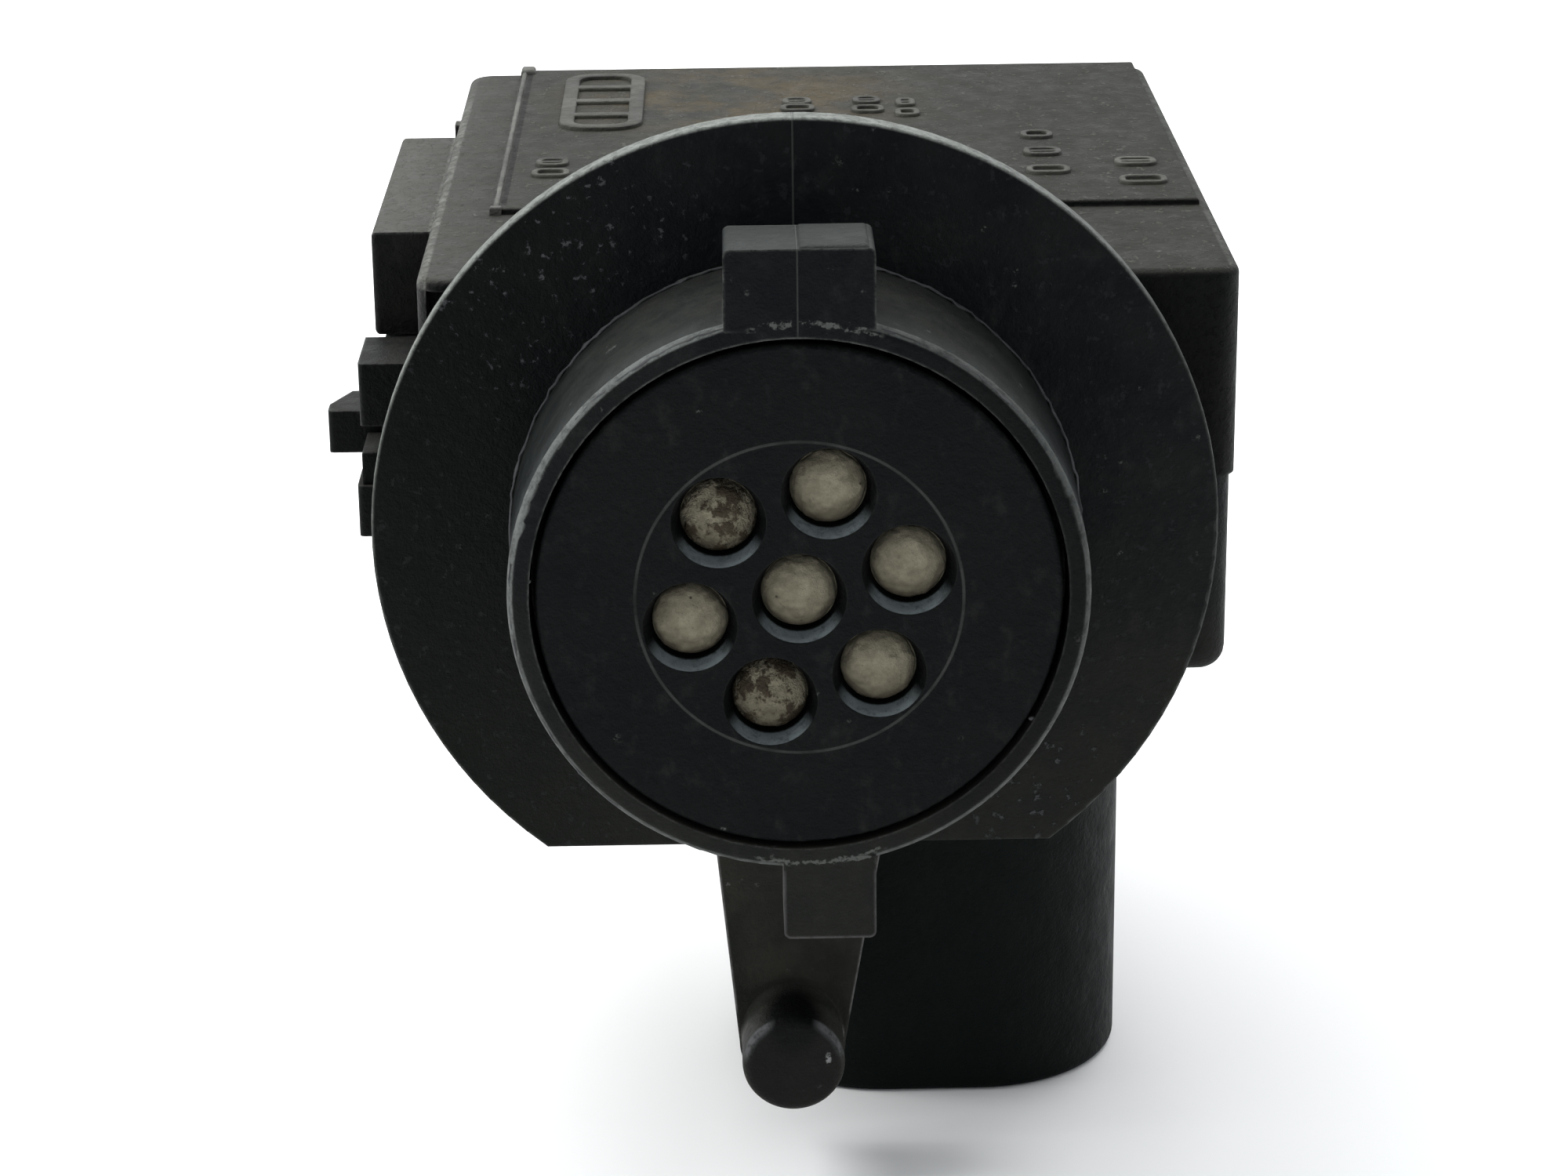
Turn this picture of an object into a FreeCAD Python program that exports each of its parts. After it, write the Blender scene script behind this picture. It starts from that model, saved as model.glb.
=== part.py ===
import FreeCAD
import Part
import math
import os
import re

import Sketcher
from FreeCAD import Placement, Rotation, Vector

# Cabin air quality sensor: a round bayonet head with a vented face in front, a flat electronics
# box behind it and a plug shroud that points down. Millimetres. The origin is the point where the
# axis of the bayonet spigot meets the front face of its flange. X is to the right, Y goes back
# from the flange into the vehicle's duct wall side, and Z is up. The spigot points along -Y.

DIMENSIONS = {
    # flange and spigot
    "flange_radius": 22.0,
    "flange_thick": 1.5,
    "flange_flat": 17.45,
    "flange_round": 0.2,
    "spigot_radius": 14.75,
    "spigot_nose_radius": 14.5,
    "spigot_length": 10.2,
    "spigot_bore": 11.2,
    "spigot_round": 0.55,
    "neck_radius": 12.0,
    "neck_opening": 7.0,
    "shoulder_depth": 1.0,
    # bayonet lugs
    "lug_depth": 4.8,
    "top_lug_left": 3.55,
    "top_lug_right": 3.85,
    "top_lug_height": 17.85,
    "low_lug_left": 0.95,
    "low_lug_right": 3.75,
    "low_lug_height": 18.35,
    # vented face
    "recess_radius": 13.4,
    "recess_depth": 2.9,
    "cap_radius": 13.1,
    "cap_setback": 0.1,
    "cap_thick": 1.5,
    "cap_skirt_wall": 1.3,
    "gasket_thick": 0.5,
    "membrane_radius": 9.4,
    "membrane_thick": 0.35,
    "membrane_ring_bore": 8.2,
    "vent_front": 2.36,
    "vent_back": 1.9,
    "vent_pitch": 5.63,
    "vent_turn": 14.6,
    "vent_count": 6,
    # springy detent arm with its knob
    "arm_thick": 1.5,
    "arm_gap": 0.1,
    "arm_root_half": 4.45,
    "arm_tip_half": 2.88,
    "arm_skew": 0.45,
    "arm_reach": 28.75,
    "knob_radius": 2.75,
    "knob_length": 3.8,
    "knob_round": 0.6,
    # electronics box
    "box_left": 19.5,
    "box_right": 23.1,
    "box_front": 3.5,
    "box_back": 54.5,
    "box_floor": 9.5,
    "box_seam": 1.6,
    "box_top": 12.9,
    "box_corner": 1.5,
    "wall": 1.6,
    "lid_proud": 0.25,
    "panel_raise": 0.35,
    "panel_left": 16.2,
    "panel_right": 22.7,
    "panel_front": 17.4,
    "panel_back": 54.0,
    "seal_width": 0.8,
    "seal_depth": 0.5,
    # snap features on the left side
    "lug_pad_out": 22.8,
    "lug_pad_front": 16.0,
    "lug_pad_back": 39.0,
    "lug_pad_low": 6.6,
    "lug_pad_top": 12.35,
    "tab_out": 1.3,
    "tab_half": 3.2,
    "tab_low": 3.6,
    "window_half": 1.9,
    "window_low": 2.5,
    "window_high": 0.5,
    # plug shroud
    "shroud_x": 7.6,
    "shroud_y": 16.0,
    "shroud_half_x": 10.9,
    "shroud_half_y": 8.6,
    "shroud_round": 8.2,
    "shroud_end": 36.0,
    "shroud_wall": 1.5,
    "insert_low": 15.0,
    # terminals
    "pin_pitch": 5.0,
    "blade_width": 2.8,
    "blade_thick": 0.8,
    "blade_end": 32.5,
    "tail_width": 1.2,
    # circuit boards
    "board_top": 2.4,
    "board_thick": 1.6,
    "board_margin": 3.0,
    "post_radius": 1.9,
    "stake_radius": 0.85,
    "sensor_board_radius": 10.6,
    # gas sensor element
    "can_radius": 4.1,
    "can_front": 6.9,
    "can_back": 2.4,
    "can_wall": 0.25,
    "header_radius": 4.6,
    "header_thick": 0.7,
    "lead_radius": 0.23,
    "lead_circle": 2.54,
    # pins between the two boards
    "link_pitch": 2.54,
    "link_half": 0.25,
    "link_drop": 4.6,
    "link_rise": 8.15,
}

doc = FreeCAD.newDocument("AirQualitySensor")
sheet = doc.addObject("Spreadsheet::Sheet", "Dimensions")
for row, (alias, size) in enumerate(DIMENSIONS.items(), start=1):
    sheet.set("A%d" % row, alias.replace("_", " "))
    sheet.set("B%d" % row, str(size))
    sheet.setAlias("B%d" % row, alias)
doc.recompute()

SUB_PARTS = []


def number(expression):
    """The value of an expression written with the sheet's aliases."""
    value = sheet.evalExpression(str(expression))
    return float(getattr(value, "Value", value))


def full_name(word):
    name = word.group(0)
    return "Dimensions." + name if name in DIMENSIONS else name


def bound(expression):
    """The same expression, with each alias written so that any object can read it."""
    return re.sub(r"[a-z]\w*", full_name, str(expression))


def bind(thing, **expressions):
    """Ties properties of an object to the sheet: bind(pad, Length="wall")."""
    for name, expression in expressions.items():
        thing.setExpression(name, bound(expression))


def sub_part(thing, label):
    """Names a finished piece; the label is also its file's name."""
    thing.Label = label
    SUB_PARTS.append(thing)
    return thing


# ---------------------------------------------------------------- sketches and features

NORMALS = {"XY_Plane": 1, "XZ_Plane": -1, "YZ_Plane": 1}


def new_sketch(body, plane, name, at="0"):
    """A sketch parallel to an origin plane of its body; at is the plane's own coordinate."""
    sketch = body.newObject("Sketcher::SketchObject", name)
    origin_plane = next(f for f in body.Origin.OriginFeatures if f.Role == plane)
    sketch.AttachmentSupport = [(origin_plane, "")]
    sketch.MapMode = "FlatFace"
    sign = "" if NORMALS[plane] > 0 else "-1 * "
    sketch.setExpression(".AttachmentOffset.Base.z", bound("%s(%s)" % (sign, at)))
    return sketch


def locate(sketch, geometry, end, place):
    """Dimensions one point of a sketch from the sketch's origin."""
    for kind, expression in zip(("DistanceX", "DistanceY"), place):
        value = number(expression)
        index = sketch.addConstraint(Sketcher.Constraint(kind, -1, 1, geometry, end, value))
        sketch.setExpression("Constraints[%d]" % index, bound(expression))


def add_circle(sketch, x, y, radius):
    middle = Vector(number(x), number(y), 0)
    circle = sketch.addGeometry(Part.Circle(middle, Vector(0, 0, 1), number(radius)))
    locate(sketch, circle, 3, (x, y))
    index = sketch.addConstraint(Sketcher.Constraint("Radius", circle, number(radius)))
    sketch.setExpression("Constraints[%d]" % index, bound(radius))


def bulge_point(start, end, radius, major):
    """The middle of the arc that turns left from start to end."""
    chord = end - start
    right = Vector(chord.y, -chord.x, 0).normalize()
    offset = math.sqrt(max(radius ** 2 - (chord.Length / 2) ** 2, 0))
    centre = (start + end) / 2 + right * (offset if major else -offset)
    return centre + right * radius


def add_profile(sketch, corners):
    """A closed outline, listed anticlockwise. A corner is (x, y), or (x, y, radius) where an arc
    leads to the next corner, or (x, y, radius, "major") where that arc is over half a turn."""
    places = [Vector(number(corner[0]), number(corner[1]), 0) for corner in corners]
    edges = []
    for index, corner in enumerate(corners):
        start = places[index]
        end = places[(index + 1) % len(corners)]
        if len(corner) == 2:
            edges.append(sketch.addGeometry(Part.LineSegment(start, end)))
        else:
            middle = bulge_point(start, end, number(corner[2]), len(corner) == 4)
            edges.append(sketch.addGeometry(Part.Arc(start, middle, end)))
    for index, corner in enumerate(corners):
        following = edges[(index + 1) % len(edges)]
        sketch.addConstraint(Sketcher.Constraint("Coincident", edges[index], 2, following, 1))
        locate(sketch, edges[index], 1, corner[:2])
        if len(corner) > 2:
            value = number(corner[2])
            radius = sketch.addConstraint(Sketcher.Constraint("Radius", edges[index], value))
            sketch.setExpression("Constraints[%d]" % radius, bound(corner[2]))


def add_rectangle(sketch, left, low, right, high):
    add_profile(sketch, [(left, low), (right, low), (right, high), (left, high)])


def add_rounded_rectangle(sketch, x, y, half_x, half_y, radius):
    """A rectangle about (x, y) with quarter rounds at its corners."""
    left, right = "%s - (%s)" % (x, half_x), "%s + (%s)" % (x, half_x)
    low, high = "%s - (%s)" % (y, half_y), "%s + (%s)" % (y, half_y)
    add_profile(sketch, [
        ("%s + %s" % (left, radius), low),
        ("%s - (%s)" % (right, radius), low, radius),
        (right, "%s + %s" % (low, radius)),
        (right, "%s - (%s)" % (high, radius), radius),
        ("%s - (%s)" % (right, radius), high),
        ("%s + %s" % (left, radius), high, radius),
        (left, "%s - (%s)" % (high, radius)),
        (left, "%s + %s" % (low, radius), radius),
    ])


def add_feature(kind, body, sketch, name, length, backwards=False):
    feature = body.newObject("PartDesign::" + kind, name)
    feature.Profile = sketch
    bind(feature, Length=length)
    feature.Reversed = backwards
    sketch.Visibility = False
    doc.recompute()
    return feature


def pad(body, sketch, name, length, backwards=False):
    """Adds material along the sketch's normal (XY: +Z, XZ: -Y), or the other way."""
    return add_feature("Pad", body, sketch, name, length, backwards)


def pocket(body, sketch, name, length, backwards=False):
    """Takes material away against the sketch's normal (XY: -Z, XZ: +Y), or the other way."""
    before = body.Shape.Volume
    feature = add_feature("Pocket", body, sketch, name, length, backwards)
    if body.Shape.Volume >= before - 1e-6:
        raise RuntimeError(name + " removes nothing")
    return feature


def block(body, name, x, y, z):
    """Adds a box to a body; each argument is a (low, high) pair."""
    sketch = new_sketch(body, "XY_Plane", name + "_sketch", z[0])
    add_rectangle(sketch, x[0], y[0], x[1], y[1])
    return pad(body, sketch, name, "%s - (%s)" % (z[1], z[0]))


def round_edges(body, name, radius, wanted):
    """Fillets the edges of a body that the test picks."""
    base = body.Tip
    names = ["Edge%d" % (i + 1) for i, edge in enumerate(base.Shape.Edges)
             if not edge.Degenerated and wanted(edge)]
    if not names:
        raise RuntimeError(name + " finds no edge")
    fillet = body.newObject("PartDesign::Fillet", name)
    fillet.Base = (base, names)
    bind(fillet, Radius=radius)
    doc.recompute()
    if "Invalid" in fillet.State:
        raise RuntimeError(name + " fails")
    return fillet


def near(a, b):
    return abs(a - b) < 0.02


def all_at(edge, axis, place):
    """True where both ends of an edge have this coordinate."""
    return all(near(getattr(v.Point, axis), place) for v in edge.Vertexes)


def is_straight(edge):
    return edge.Curve.TypeId == "Part::GeomLine"


def is_line_along(edge, axis):
    return is_straight(edge) and abs(abs(getattr(edge.Curve.Direction, axis)) - 1) < 1e-6


def is_circle(edge, radius):
    return edge.Curve.TypeId == "Part::GeomCircle" and near(edge.Curve.Radius, radius)


def new_body(label):
    return sub_part(doc.addObject("PartDesign::Body", label), label)


# ---------------------------------------------------------------- plain solids

def cylinder(name, radius, length, x="0", y="0", z="0", along="z"):
    """A cylinder that starts at (x, y, z) and runs along +Z or +Y."""
    solid = doc.addObject("Part::Cylinder", name)
    bind(solid, Radius=radius, Height=length)
    turn = Rotation(Vector(1, 0, 0), -90) if along == "y" else Rotation()
    solid.Placement = Placement(Vector(number(x), number(y), number(z)), turn)
    return solid


def box(name, x, y, z):
    """A box between three (low, high) pairs."""
    solid = doc.addObject("Part::Box", name)
    bind(solid, Length="%s - (%s)" % (x[1], x[0]), Width="%s - (%s)" % (y[1], y[0]),
         Height="%s - (%s)" % (z[1], z[0]))
    solid.Placement = Placement(Vector(number(x[0]), number(y[0]), number(z[0])), Rotation())
    return solid


def cut(name, base, tool):
    solid = doc.addObject("Part::Cut", name)
    solid.Base = base
    solid.Tool = tool
    return solid


def fuse(name, pieces):
    solid = doc.addObject("Part::MultiFuse", name)
    solid.Shapes = pieces
    return solid


def group(name, pieces):
    """Separate identical solids that share one node."""
    compound = doc.addObject("Part::Compound", name)
    compound.Links = pieces
    return compound


# ---------------------------------------------------------------- housing

def add_head(body):
    """The flange with its flat foot, the neck behind it, the drafted spigot and the two lugs."""
    flange = new_sketch(body, "XZ_Plane", "flange_outline")
    foot = "sqrt(flange_radius ^ 2 - flange_flat ^ 2)"
    add_profile(flange, [("-1 * " + foot, "-flange_flat"),
                         (foot, "-flange_flat", "flange_radius", "major")])
    pad(body, flange, "flange", "flange_thick", backwards=True)
    round_edges(body, "flange_rounding", "flange_round", lambda edge: (
        all_at(edge, "y", 0) or all_at(edge, "y", number("flange_thick"))))

    neck = new_sketch(body, "XZ_Plane", "neck_outline", "flange_thick")
    add_circle(neck, "0", "0", "neck_radius")
    pad(body, neck, "neck", "box_front - flange_thick", backwards=True)

    spigot = new_sketch(body, "XZ_Plane", "spigot_outline")
    add_circle(spigot, "0", "0", "spigot_radius")
    draft = (number("spigot_radius") - number("spigot_nose_radius")) / number("spigot_length")
    cone = pad(body, spigot, "spigot", "spigot_length")
    cone.TaperAngle = -math.degrees(math.atan(draft))
    doc.recompute()
    round_edges(body, "head_rounding", "spigot_round", lambda edge: (
        is_circle(edge, number("spigot_nose_radius"))
        and all_at(edge, "y", -number("spigot_length"))))

    lugs = new_sketch(body, "XZ_Plane", "lug_outline", "-spigot_length")
    add_rectangle(lugs, "-top_lug_left", "recess_radius + 0.4", "top_lug_right", "top_lug_height")
    add_rectangle(lugs, "-low_lug_left", "-low_lug_height", "low_lug_right", "-recess_radius - 0.4")
    pad(body, lugs, "lugs", "lug_depth", backwards=True)

    round_edges(body, "lug_rounding", "0.35", lambda edge: (
        is_line_along(edge, "y") and edge.Length < number("lug_depth") + 0.1
        and abs(edge.CenterOfMass.z) > number("top_lug_height") - 0.1))


def add_tray(body):
    """The lower half of the electronics box, open at the top, with posts for the board."""
    floor = new_sketch(body, "XY_Plane", "tray_outline", "-box_floor")
    add_rounded_rectangle(floor, "(box_right - box_left) / 2", "(box_front + box_back) / 2",
                          "(box_right + box_left) / 2", "(box_back - box_front) / 2",
                          "box_corner")
    pad(body, floor, "tray", "box_floor + box_seam")
    round_edges(body, "tray_rounding", "1.3", lambda edge: (
        all_at(edge, "z", -number("box_floor"))
        and edge.CenterOfMass.y > number("box_front") + 0.5))

    inside = new_sketch(body, "XY_Plane", "tray_inside", "box_seam")
    add_rectangle(inside, "-box_left + wall", "box_front + wall", "box_right - wall",
                  "box_back - wall")
    pocket(body, inside, "tray_cavity", "box_seam + box_floor - wall")

    groove = new_sketch(body, "XY_Plane", "seal_groove_outline", "box_seam")
    add_seal_ring(groove)
    pocket(body, groove, "seal_groove", "seal_depth")

    posts = new_sketch(body, "XY_Plane", "post_outline", "wall - box_floor")
    for x, y in post_places():
        add_circle(posts, x, y, "post_radius")
    pad(body, posts, "posts", "box_floor - wall - board_top - board_thick")
    stakes = new_sketch(body, "XY_Plane", "stake_outline", "-board_top - board_thick")
    for x, y in post_places():
        add_circle(stakes, x, y, "stake_radius")
    pad(body, stakes, "stakes", "board_thick + 0.7")


def add_seal_ring(sketch):
    """The rectangular ring that runs along the middle of the box's wall, clear of the neck."""
    for inset in ("(wall - seal_width) / 2", "(wall + seal_width) / 2"):
        add_rectangle(sketch, "-box_left + " + inset, "box_front + " + inset,
                      "box_right - " + inset, "box_back - " + inset)


def post_places():
    left, right = "-box_left + wall + 3.2", "box_right - wall - 3.2"
    return [(left, "29"), (right, "31"), (left, "box_back - wall - 3.2"),
            (right, "box_back - wall - 3.2")]


def add_shroud(body):
    """The plug shroud under the box, with its latch ramp, keys and cavity."""
    outer = new_sketch(body, "XY_Plane", "shroud_outline", "-shroud_end")
    add_rounded_rectangle(outer, "shroud_x", "shroud_y", "shroud_half_x", "shroud_half_y",
                          "shroud_round")
    pad(body, outer, "shroud", "shroud_end - box_floor + 0.4")
    round_edges(body, "shroud_rounding", "0.5", lambda edge: (
        all_at(edge, "z", -number("shroud_end"))))

    ramp = new_sketch(body, "YZ_Plane", "latch_ramp_outline", "shroud_x - 3")
    back = "shroud_y + shroud_half_y"
    add_profile(ramp, [(back + " - 0.5", "-shroud_end + 6"), (back, "-shroud_end + 6"),
                       (back + " + 1.6", "-shroud_end + 9.5"), (back + " + 1.6", "-shroud_end + 10.5"),
                       (back + " - 0.5", "-shroud_end + 10.5")])
    pad(body, ramp, "latch_ramp", "6")

    inner = new_sketch(body, "XY_Plane", "shroud_inside", "-shroud_end")
    add_rounded_rectangle(inner, "shroud_x", "shroud_y", "shroud_half_x - shroud_wall",
                          "shroud_half_y - shroud_wall", "shroud_round - shroud_wall")
    pocket(body, inner, "shroud_cavity", "shroud_end - box_floor + wall", backwards=True)

    keys = new_sketch(body, "XY_Plane", "key_outline", "-shroud_end + 1.5")
    for shift in ("-4.2", "3"):
        add_rectangle(keys, "shroud_x + " + shift, "shroud_y - shroud_half_y + shroud_wall - 0.3",
                      "shroud_x + 1.2 + " + shift, "shroud_y - shroud_half_y + shroud_wall + 1")
    pad(body, keys, "keys", "shroud_end - insert_low - 1.5")


def add_side_bracket(body):
    """The stepped bracket that holds the lid's snap pad on the left side."""
    face = "-box_left - 0.1"
    block(body, "bracket_foot", ("-23.8", "-box_left + 0.4"), ("12", "15.2"), ("-3.8", "-0.9"))
    block(body, "bracket_post", ("-22.3", face), ("12", "20"), ("-3.8", "6.3"))
    block(body, "bracket_base", ("-22.3", "-box_left + 0.4"), ("12", "20"), ("-3.8", "1"))
    block(body, "bracket_head", ("-23.35", face), ("10.6", "16"), ("2.95", "6.45"))
    catch = new_sketch(body, "XY_Plane", "bracket_catch_sketch", "-0.2")
    add_profile(catch, [("-22", "16"), ("-22", "20"), ("-24.6", "20"), ("-25.65", "17.4"),
                        ("-25.65", "16")][::-1])
    pad(body, catch, "bracket_catch", "2.4")
    corners = {(-23.35, 10.6), (-23.8, 12.0), (-25.65, 16.0)}
    round_edges(body, "bracket_rounding", "0.3", lambda edge: (
        is_line_along(edge, "z")
        and any(near(edge.CenterOfMass.x, x) and near(edge.CenterOfMass.y, y) for x, y in corners)))


def add_head_bores(body):
    """The bore of the spigot, the recess for the vented cap and the way into the box."""
    steps = [("recess", "recess_radius", "-spigot_length", "recess_depth"),
             ("bore", "spigot_bore", "-spigot_length", "spigot_length + shoulder_depth"),
             ("opening", "neck_opening", "0", "box_front + wall")]
    for name, radius, start, depth in steps:
        sketch = new_sketch(body, "XZ_Plane", name + "_outline", start)
        add_circle(sketch, "0", "0", radius)
        pocket(body, sketch, name, depth)


def tab_places():
    """The middles of the lid's two snap tabs on the back wall."""
    return ["-9.5", "11.5"]


def add_back_catches(body):
    """The two wedges on the tray's back wall that the lid's tabs snap over."""
    for index, x in enumerate(tab_places()):
        wedge = new_sketch(body, "YZ_Plane", "catch_%d_outline" % index,
                           "%s - window_half + 0.25" % x)
        add_profile(wedge, [("box_back - 0.4", "-window_low + 0.2"),
                            ("box_back + tab_out - 0.3", "-window_low + 0.2"),
                            ("box_back", "-window_high - 0.2"),
                            ("box_back - 0.4", "-window_high - 0.2")])
        pad(body, wedge, "catch_%d" % index, "2 * window_half - 0.5")


def make_housing():
    body = new_body("housing")
    add_tray(body)
    add_head(body)
    add_shroud(body)
    add_side_bracket(body)
    add_back_catches(body)
    add_head_bores(body)


# ---------------------------------------------------------------- lid

def make_lid():
    """The upper half of the box: a deep cover with a raised panel and a snap pad on its left."""
    body = new_body("lid")
    right = "box_right + lid_proud"
    outer = new_sketch(body, "XY_Plane", "lid_outline", "box_seam")
    add_rounded_rectangle(outer, "(%s - box_left) / 2" % right, "(box_front + box_back) / 2",
                          "(%s + box_left) / 2" % right, "(box_back - box_front) / 2",
                          "box_corner")
    pad(body, outer, "lid_block", "box_top - box_seam")
    round_edges(body, "lid_rounding", "0.5", lambda edge: all_at(edge, "z", number("box_top")))
    block(body, "snap_pad", ("-lug_pad_out", "-box_left + 0.4"), ("lug_pad_front", "lug_pad_back"),
          ("lug_pad_low", "lug_pad_top"))
    block(body, "snap_nub", ("-box_left - 0.35", "-box_left + 0.4"), ("42.6", "43.8"),
          ("box_top - 1.4", "box_top - 0.6"))
    round_edges(body, "pad_rounding", "0.3", lambda edge: (
        all_at(edge, "x", -number("lug_pad_out"))))

    panel = new_sketch(body, "XY_Plane", "panel_outline", "box_top - 0.5")
    add_rectangle(panel, "-panel_left", "panel_front", "panel_right", "panel_back")
    pad(body, panel, "raised_panel", "panel_raise + 0.5")
    round_edges(body, "panel_rounding", "0.2", lambda edge: (
        all_at(edge, "z", number("box_top + panel_raise"))))

    add_snap_tabs(body)

    inside = new_sketch(body, "XY_Plane", "lid_inside", "box_seam")
    add_rectangle(inside, "-box_left + wall", "box_front + wall", "box_right - wall",
                  "box_back - wall")
    pocket(body, inside, "lid_cavity", "box_top - box_seam - wall", backwards=True)

    notch = new_sketch(body, "XZ_Plane", "lid_notch_outline", "box_front")
    add_circle(notch, "0", "0", "neck_opening")
    pocket(body, notch, "lid_notch", "wall")

    hollow = new_sketch(body, "XZ_Plane", "lid_hollow_outline", "box_front")
    add_rectangle(hollow, "-box_left + 0.55", "box_seam + 1.2", "-box_left + 4", "box_top - 0.6")
    pocket(body, hollow, "lid_hollow", "0.9")


def add_snap_tabs(body):
    """The two tabs on the lid's back that hang over the tray, each with a window."""
    for index, x in enumerate(tab_places()):
        across = (x + " - tab_half", x + " + tab_half")
        block(body, "tab_root_%d" % index, across, ("box_back - 0.4", "box_back + tab_out"),
              ("box_seam", "box_seam + 4"))
        block(body, "tab_%d" % index, across, ("box_back + 0.1", "box_back + tab_out"),
              ("-tab_low", "box_seam + 1"))
    round_edges(body, "tab_rounding", "0.4", lambda edge: (
        is_line_along(edge, "y") and edge.CenterOfMass.y > number("box_back")))
    windows = new_sketch(body, "XZ_Plane", "window_outline", "box_back + tab_out")
    for x in tab_places():
        add_rectangle(windows, x + " - window_half", "-window_low", x + " + window_half",
                      "-window_high")
    pocket(body, windows, "windows", "tab_out", backwards=True)


def make_lid_seal():
    """The gasket in the groove round the tray's rim."""
    body = new_body("lid_seal")
    ring = new_sketch(body, "XY_Plane", "lid_seal_outline", "box_seam - seal_depth")
    add_seal_ring(ring)
    pad(body, ring, "lid_seal_ring", "seal_depth")


# ---------------------------------------------------------------- detent arm

def make_latch_arm():
    """The springy arm below the flange with the knob that drops into the panel's hole. Its top
    end is round about the bend line, which lies a clearance below the flange's flat."""
    body = new_body("latch_arm")
    root = "-flange_flat - arm_gap"
    outline = new_sketch(body, "XZ_Plane", "arm_outline")
    tip = "-arm_skew"
    add_profile(outline, [
        ("%s - arm_tip_half" % tip, "-arm_reach - 0.4", "arm_tip_half + 0.03"),
        ("%s + arm_tip_half" % tip, "-arm_reach - 0.4"),
        ("arm_root_half", root),
        ("-arm_root_half", root),
    ])
    pad(body, outline, "arm_plate", "arm_thick", backwards=True)
    knob = new_sketch(body, "XZ_Plane", "knob_outline")
    add_circle(knob, tip, "-arm_reach", "knob_radius")
    pad(body, knob, "knob", "knob_length")
    round_edges(body, "knob_rounding", "knob_round", lambda edge: (
        is_circle(edge, number("knob_radius")) and all_at(edge, "y", -number("knob_length"))))
    round_edges(body, "root_rounding", "arm_thick / 2 - 0.01", lambda edge: (
        is_line_along(edge, "x") and all_at(edge, "z", number(root))))


# ---------------------------------------------------------------- vented face

def make_vent_cap():
    """The perforated disc in the spigot's mouth. Its vents taper towards the membrane."""
    body = new_body("vent_cap")
    front = "-spigot_length + cap_setback"
    disc = new_sketch(body, "XZ_Plane", "cap_outline", front)
    add_circle(disc, "0", "0", "cap_radius")
    depth = "recess_depth - cap_setback - gasket_thick"
    pad(body, disc, "cap_disc", depth, backwards=True)
    round_edges(body, "cap_rounding", "0.25", lambda edge: all_at(edge, "y", number(front)))

    back = "-spigot_length + recess_depth - gasket_thick"
    hollow = new_sketch(body, "XZ_Plane", "cap_hollow_outline", back)
    add_circle(hollow, "0", "0", "cap_radius - cap_skirt_wall")
    pocket(body, hollow, "cap_hollow", depth + " - cap_thick", backwards=True)

    taper = math.degrees(math.atan((number("vent_front") - number("vent_back"))
                                   / number("cap_thick")))
    middle = new_sketch(body, "XZ_Plane", "middle_vent_outline", front)
    add_circle(middle, "0", "0", "vent_front")
    vent = pocket(body, middle, "middle_vent", "cap_thick")
    vent.TaperAngle = -taper

    outer = new_sketch(body, "XZ_Plane", "outer_vent_outline", front)
    add_circle(outer, "vent_pitch * cos(vent_turn)", "vent_pitch * sin(vent_turn)", "vent_front")
    vent = pocket(body, outer, "outer_vent", "cap_thick")
    vent.TaperAngle = -taper
    doc.recompute()
    ring = body.newObject("PartDesign::PolarPattern", "vent_ring")
    ring.Originals = [vent]
    ring.Axis = (outer, ["N_Axis"])
    ring.Angle = 360
    bind(ring, Occurrences="vent_count")
    body.Tip = ring
    doc.recompute()


def ring_node(label, outer, inner, length, start):
    """A flat ring round the spigot's axis, as a node of its own."""
    rim = cylinder(label + "_rim", outer, length, y=start, along="y")
    hole = cylinder(label + "_hole", inner, length + " + 1", y=start + " - 0.5", along="y")
    sub_part(cut(label + "_ring", rim, hole), label)


def make_membrane():
    """The porous membrane behind the vents, the foam ring that presses it on, and the gasket."""
    front = "-spigot_length + cap_setback + cap_thick"
    sheet_of_membrane = cylinder("membrane_disc", "membrane_radius", "membrane_thick", y=front,
                                 along="y")
    sub_part(sheet_of_membrane, "vent_membrane")
    ring_length = "recess_depth - cap_setback - cap_thick - membrane_thick"
    ring_node("membrane_ring", "membrane_radius", "membrane_ring_bore", ring_length,
              front + " + membrane_thick")
    ring_node("cap_gasket", "cap_radius", "spigot_bore + 0.2", "gasket_thick",
              "-spigot_length + recess_depth - gasket_thick")


# ---------------------------------------------------------------- gas sensor in the spigot

def make_turned(label, profile):
    """A solid of revolution about the spigot's axis; the profile is a list of (radius, y)."""
    body = new_body(label)
    sketch = new_sketch(body, "XY_Plane", label + "_profile")
    add_profile(sketch, profile)
    turned = body.newObject("PartDesign::Revolution", label + "_turned")
    turned.Profile = sketch
    turned.ReferenceAxis = (sketch, ["V_Axis"])
    turned.Angle = 360
    sketch.Visibility = False
    doc.recompute()


def make_sensor_holder():
    """The plug in the spigot's bore that carries the sensing element behind the membrane."""
    front = "-spigot_length + recess_depth"
    make_turned("sensor_holder", [
        ("can_radius + 0.15", "-can_back"),
        ("can_radius + 0.15", "-can_front"),
        ("7.9", "-can_front"),
        ("7.9", front),
        ("spigot_bore - 0.06", front),
        ("spigot_bore - 0.06", "0"),
        ("header_radius + 0.1", "0"),
        ("header_radius + 0.1", "-can_back"),
    ][::-1])


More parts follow.
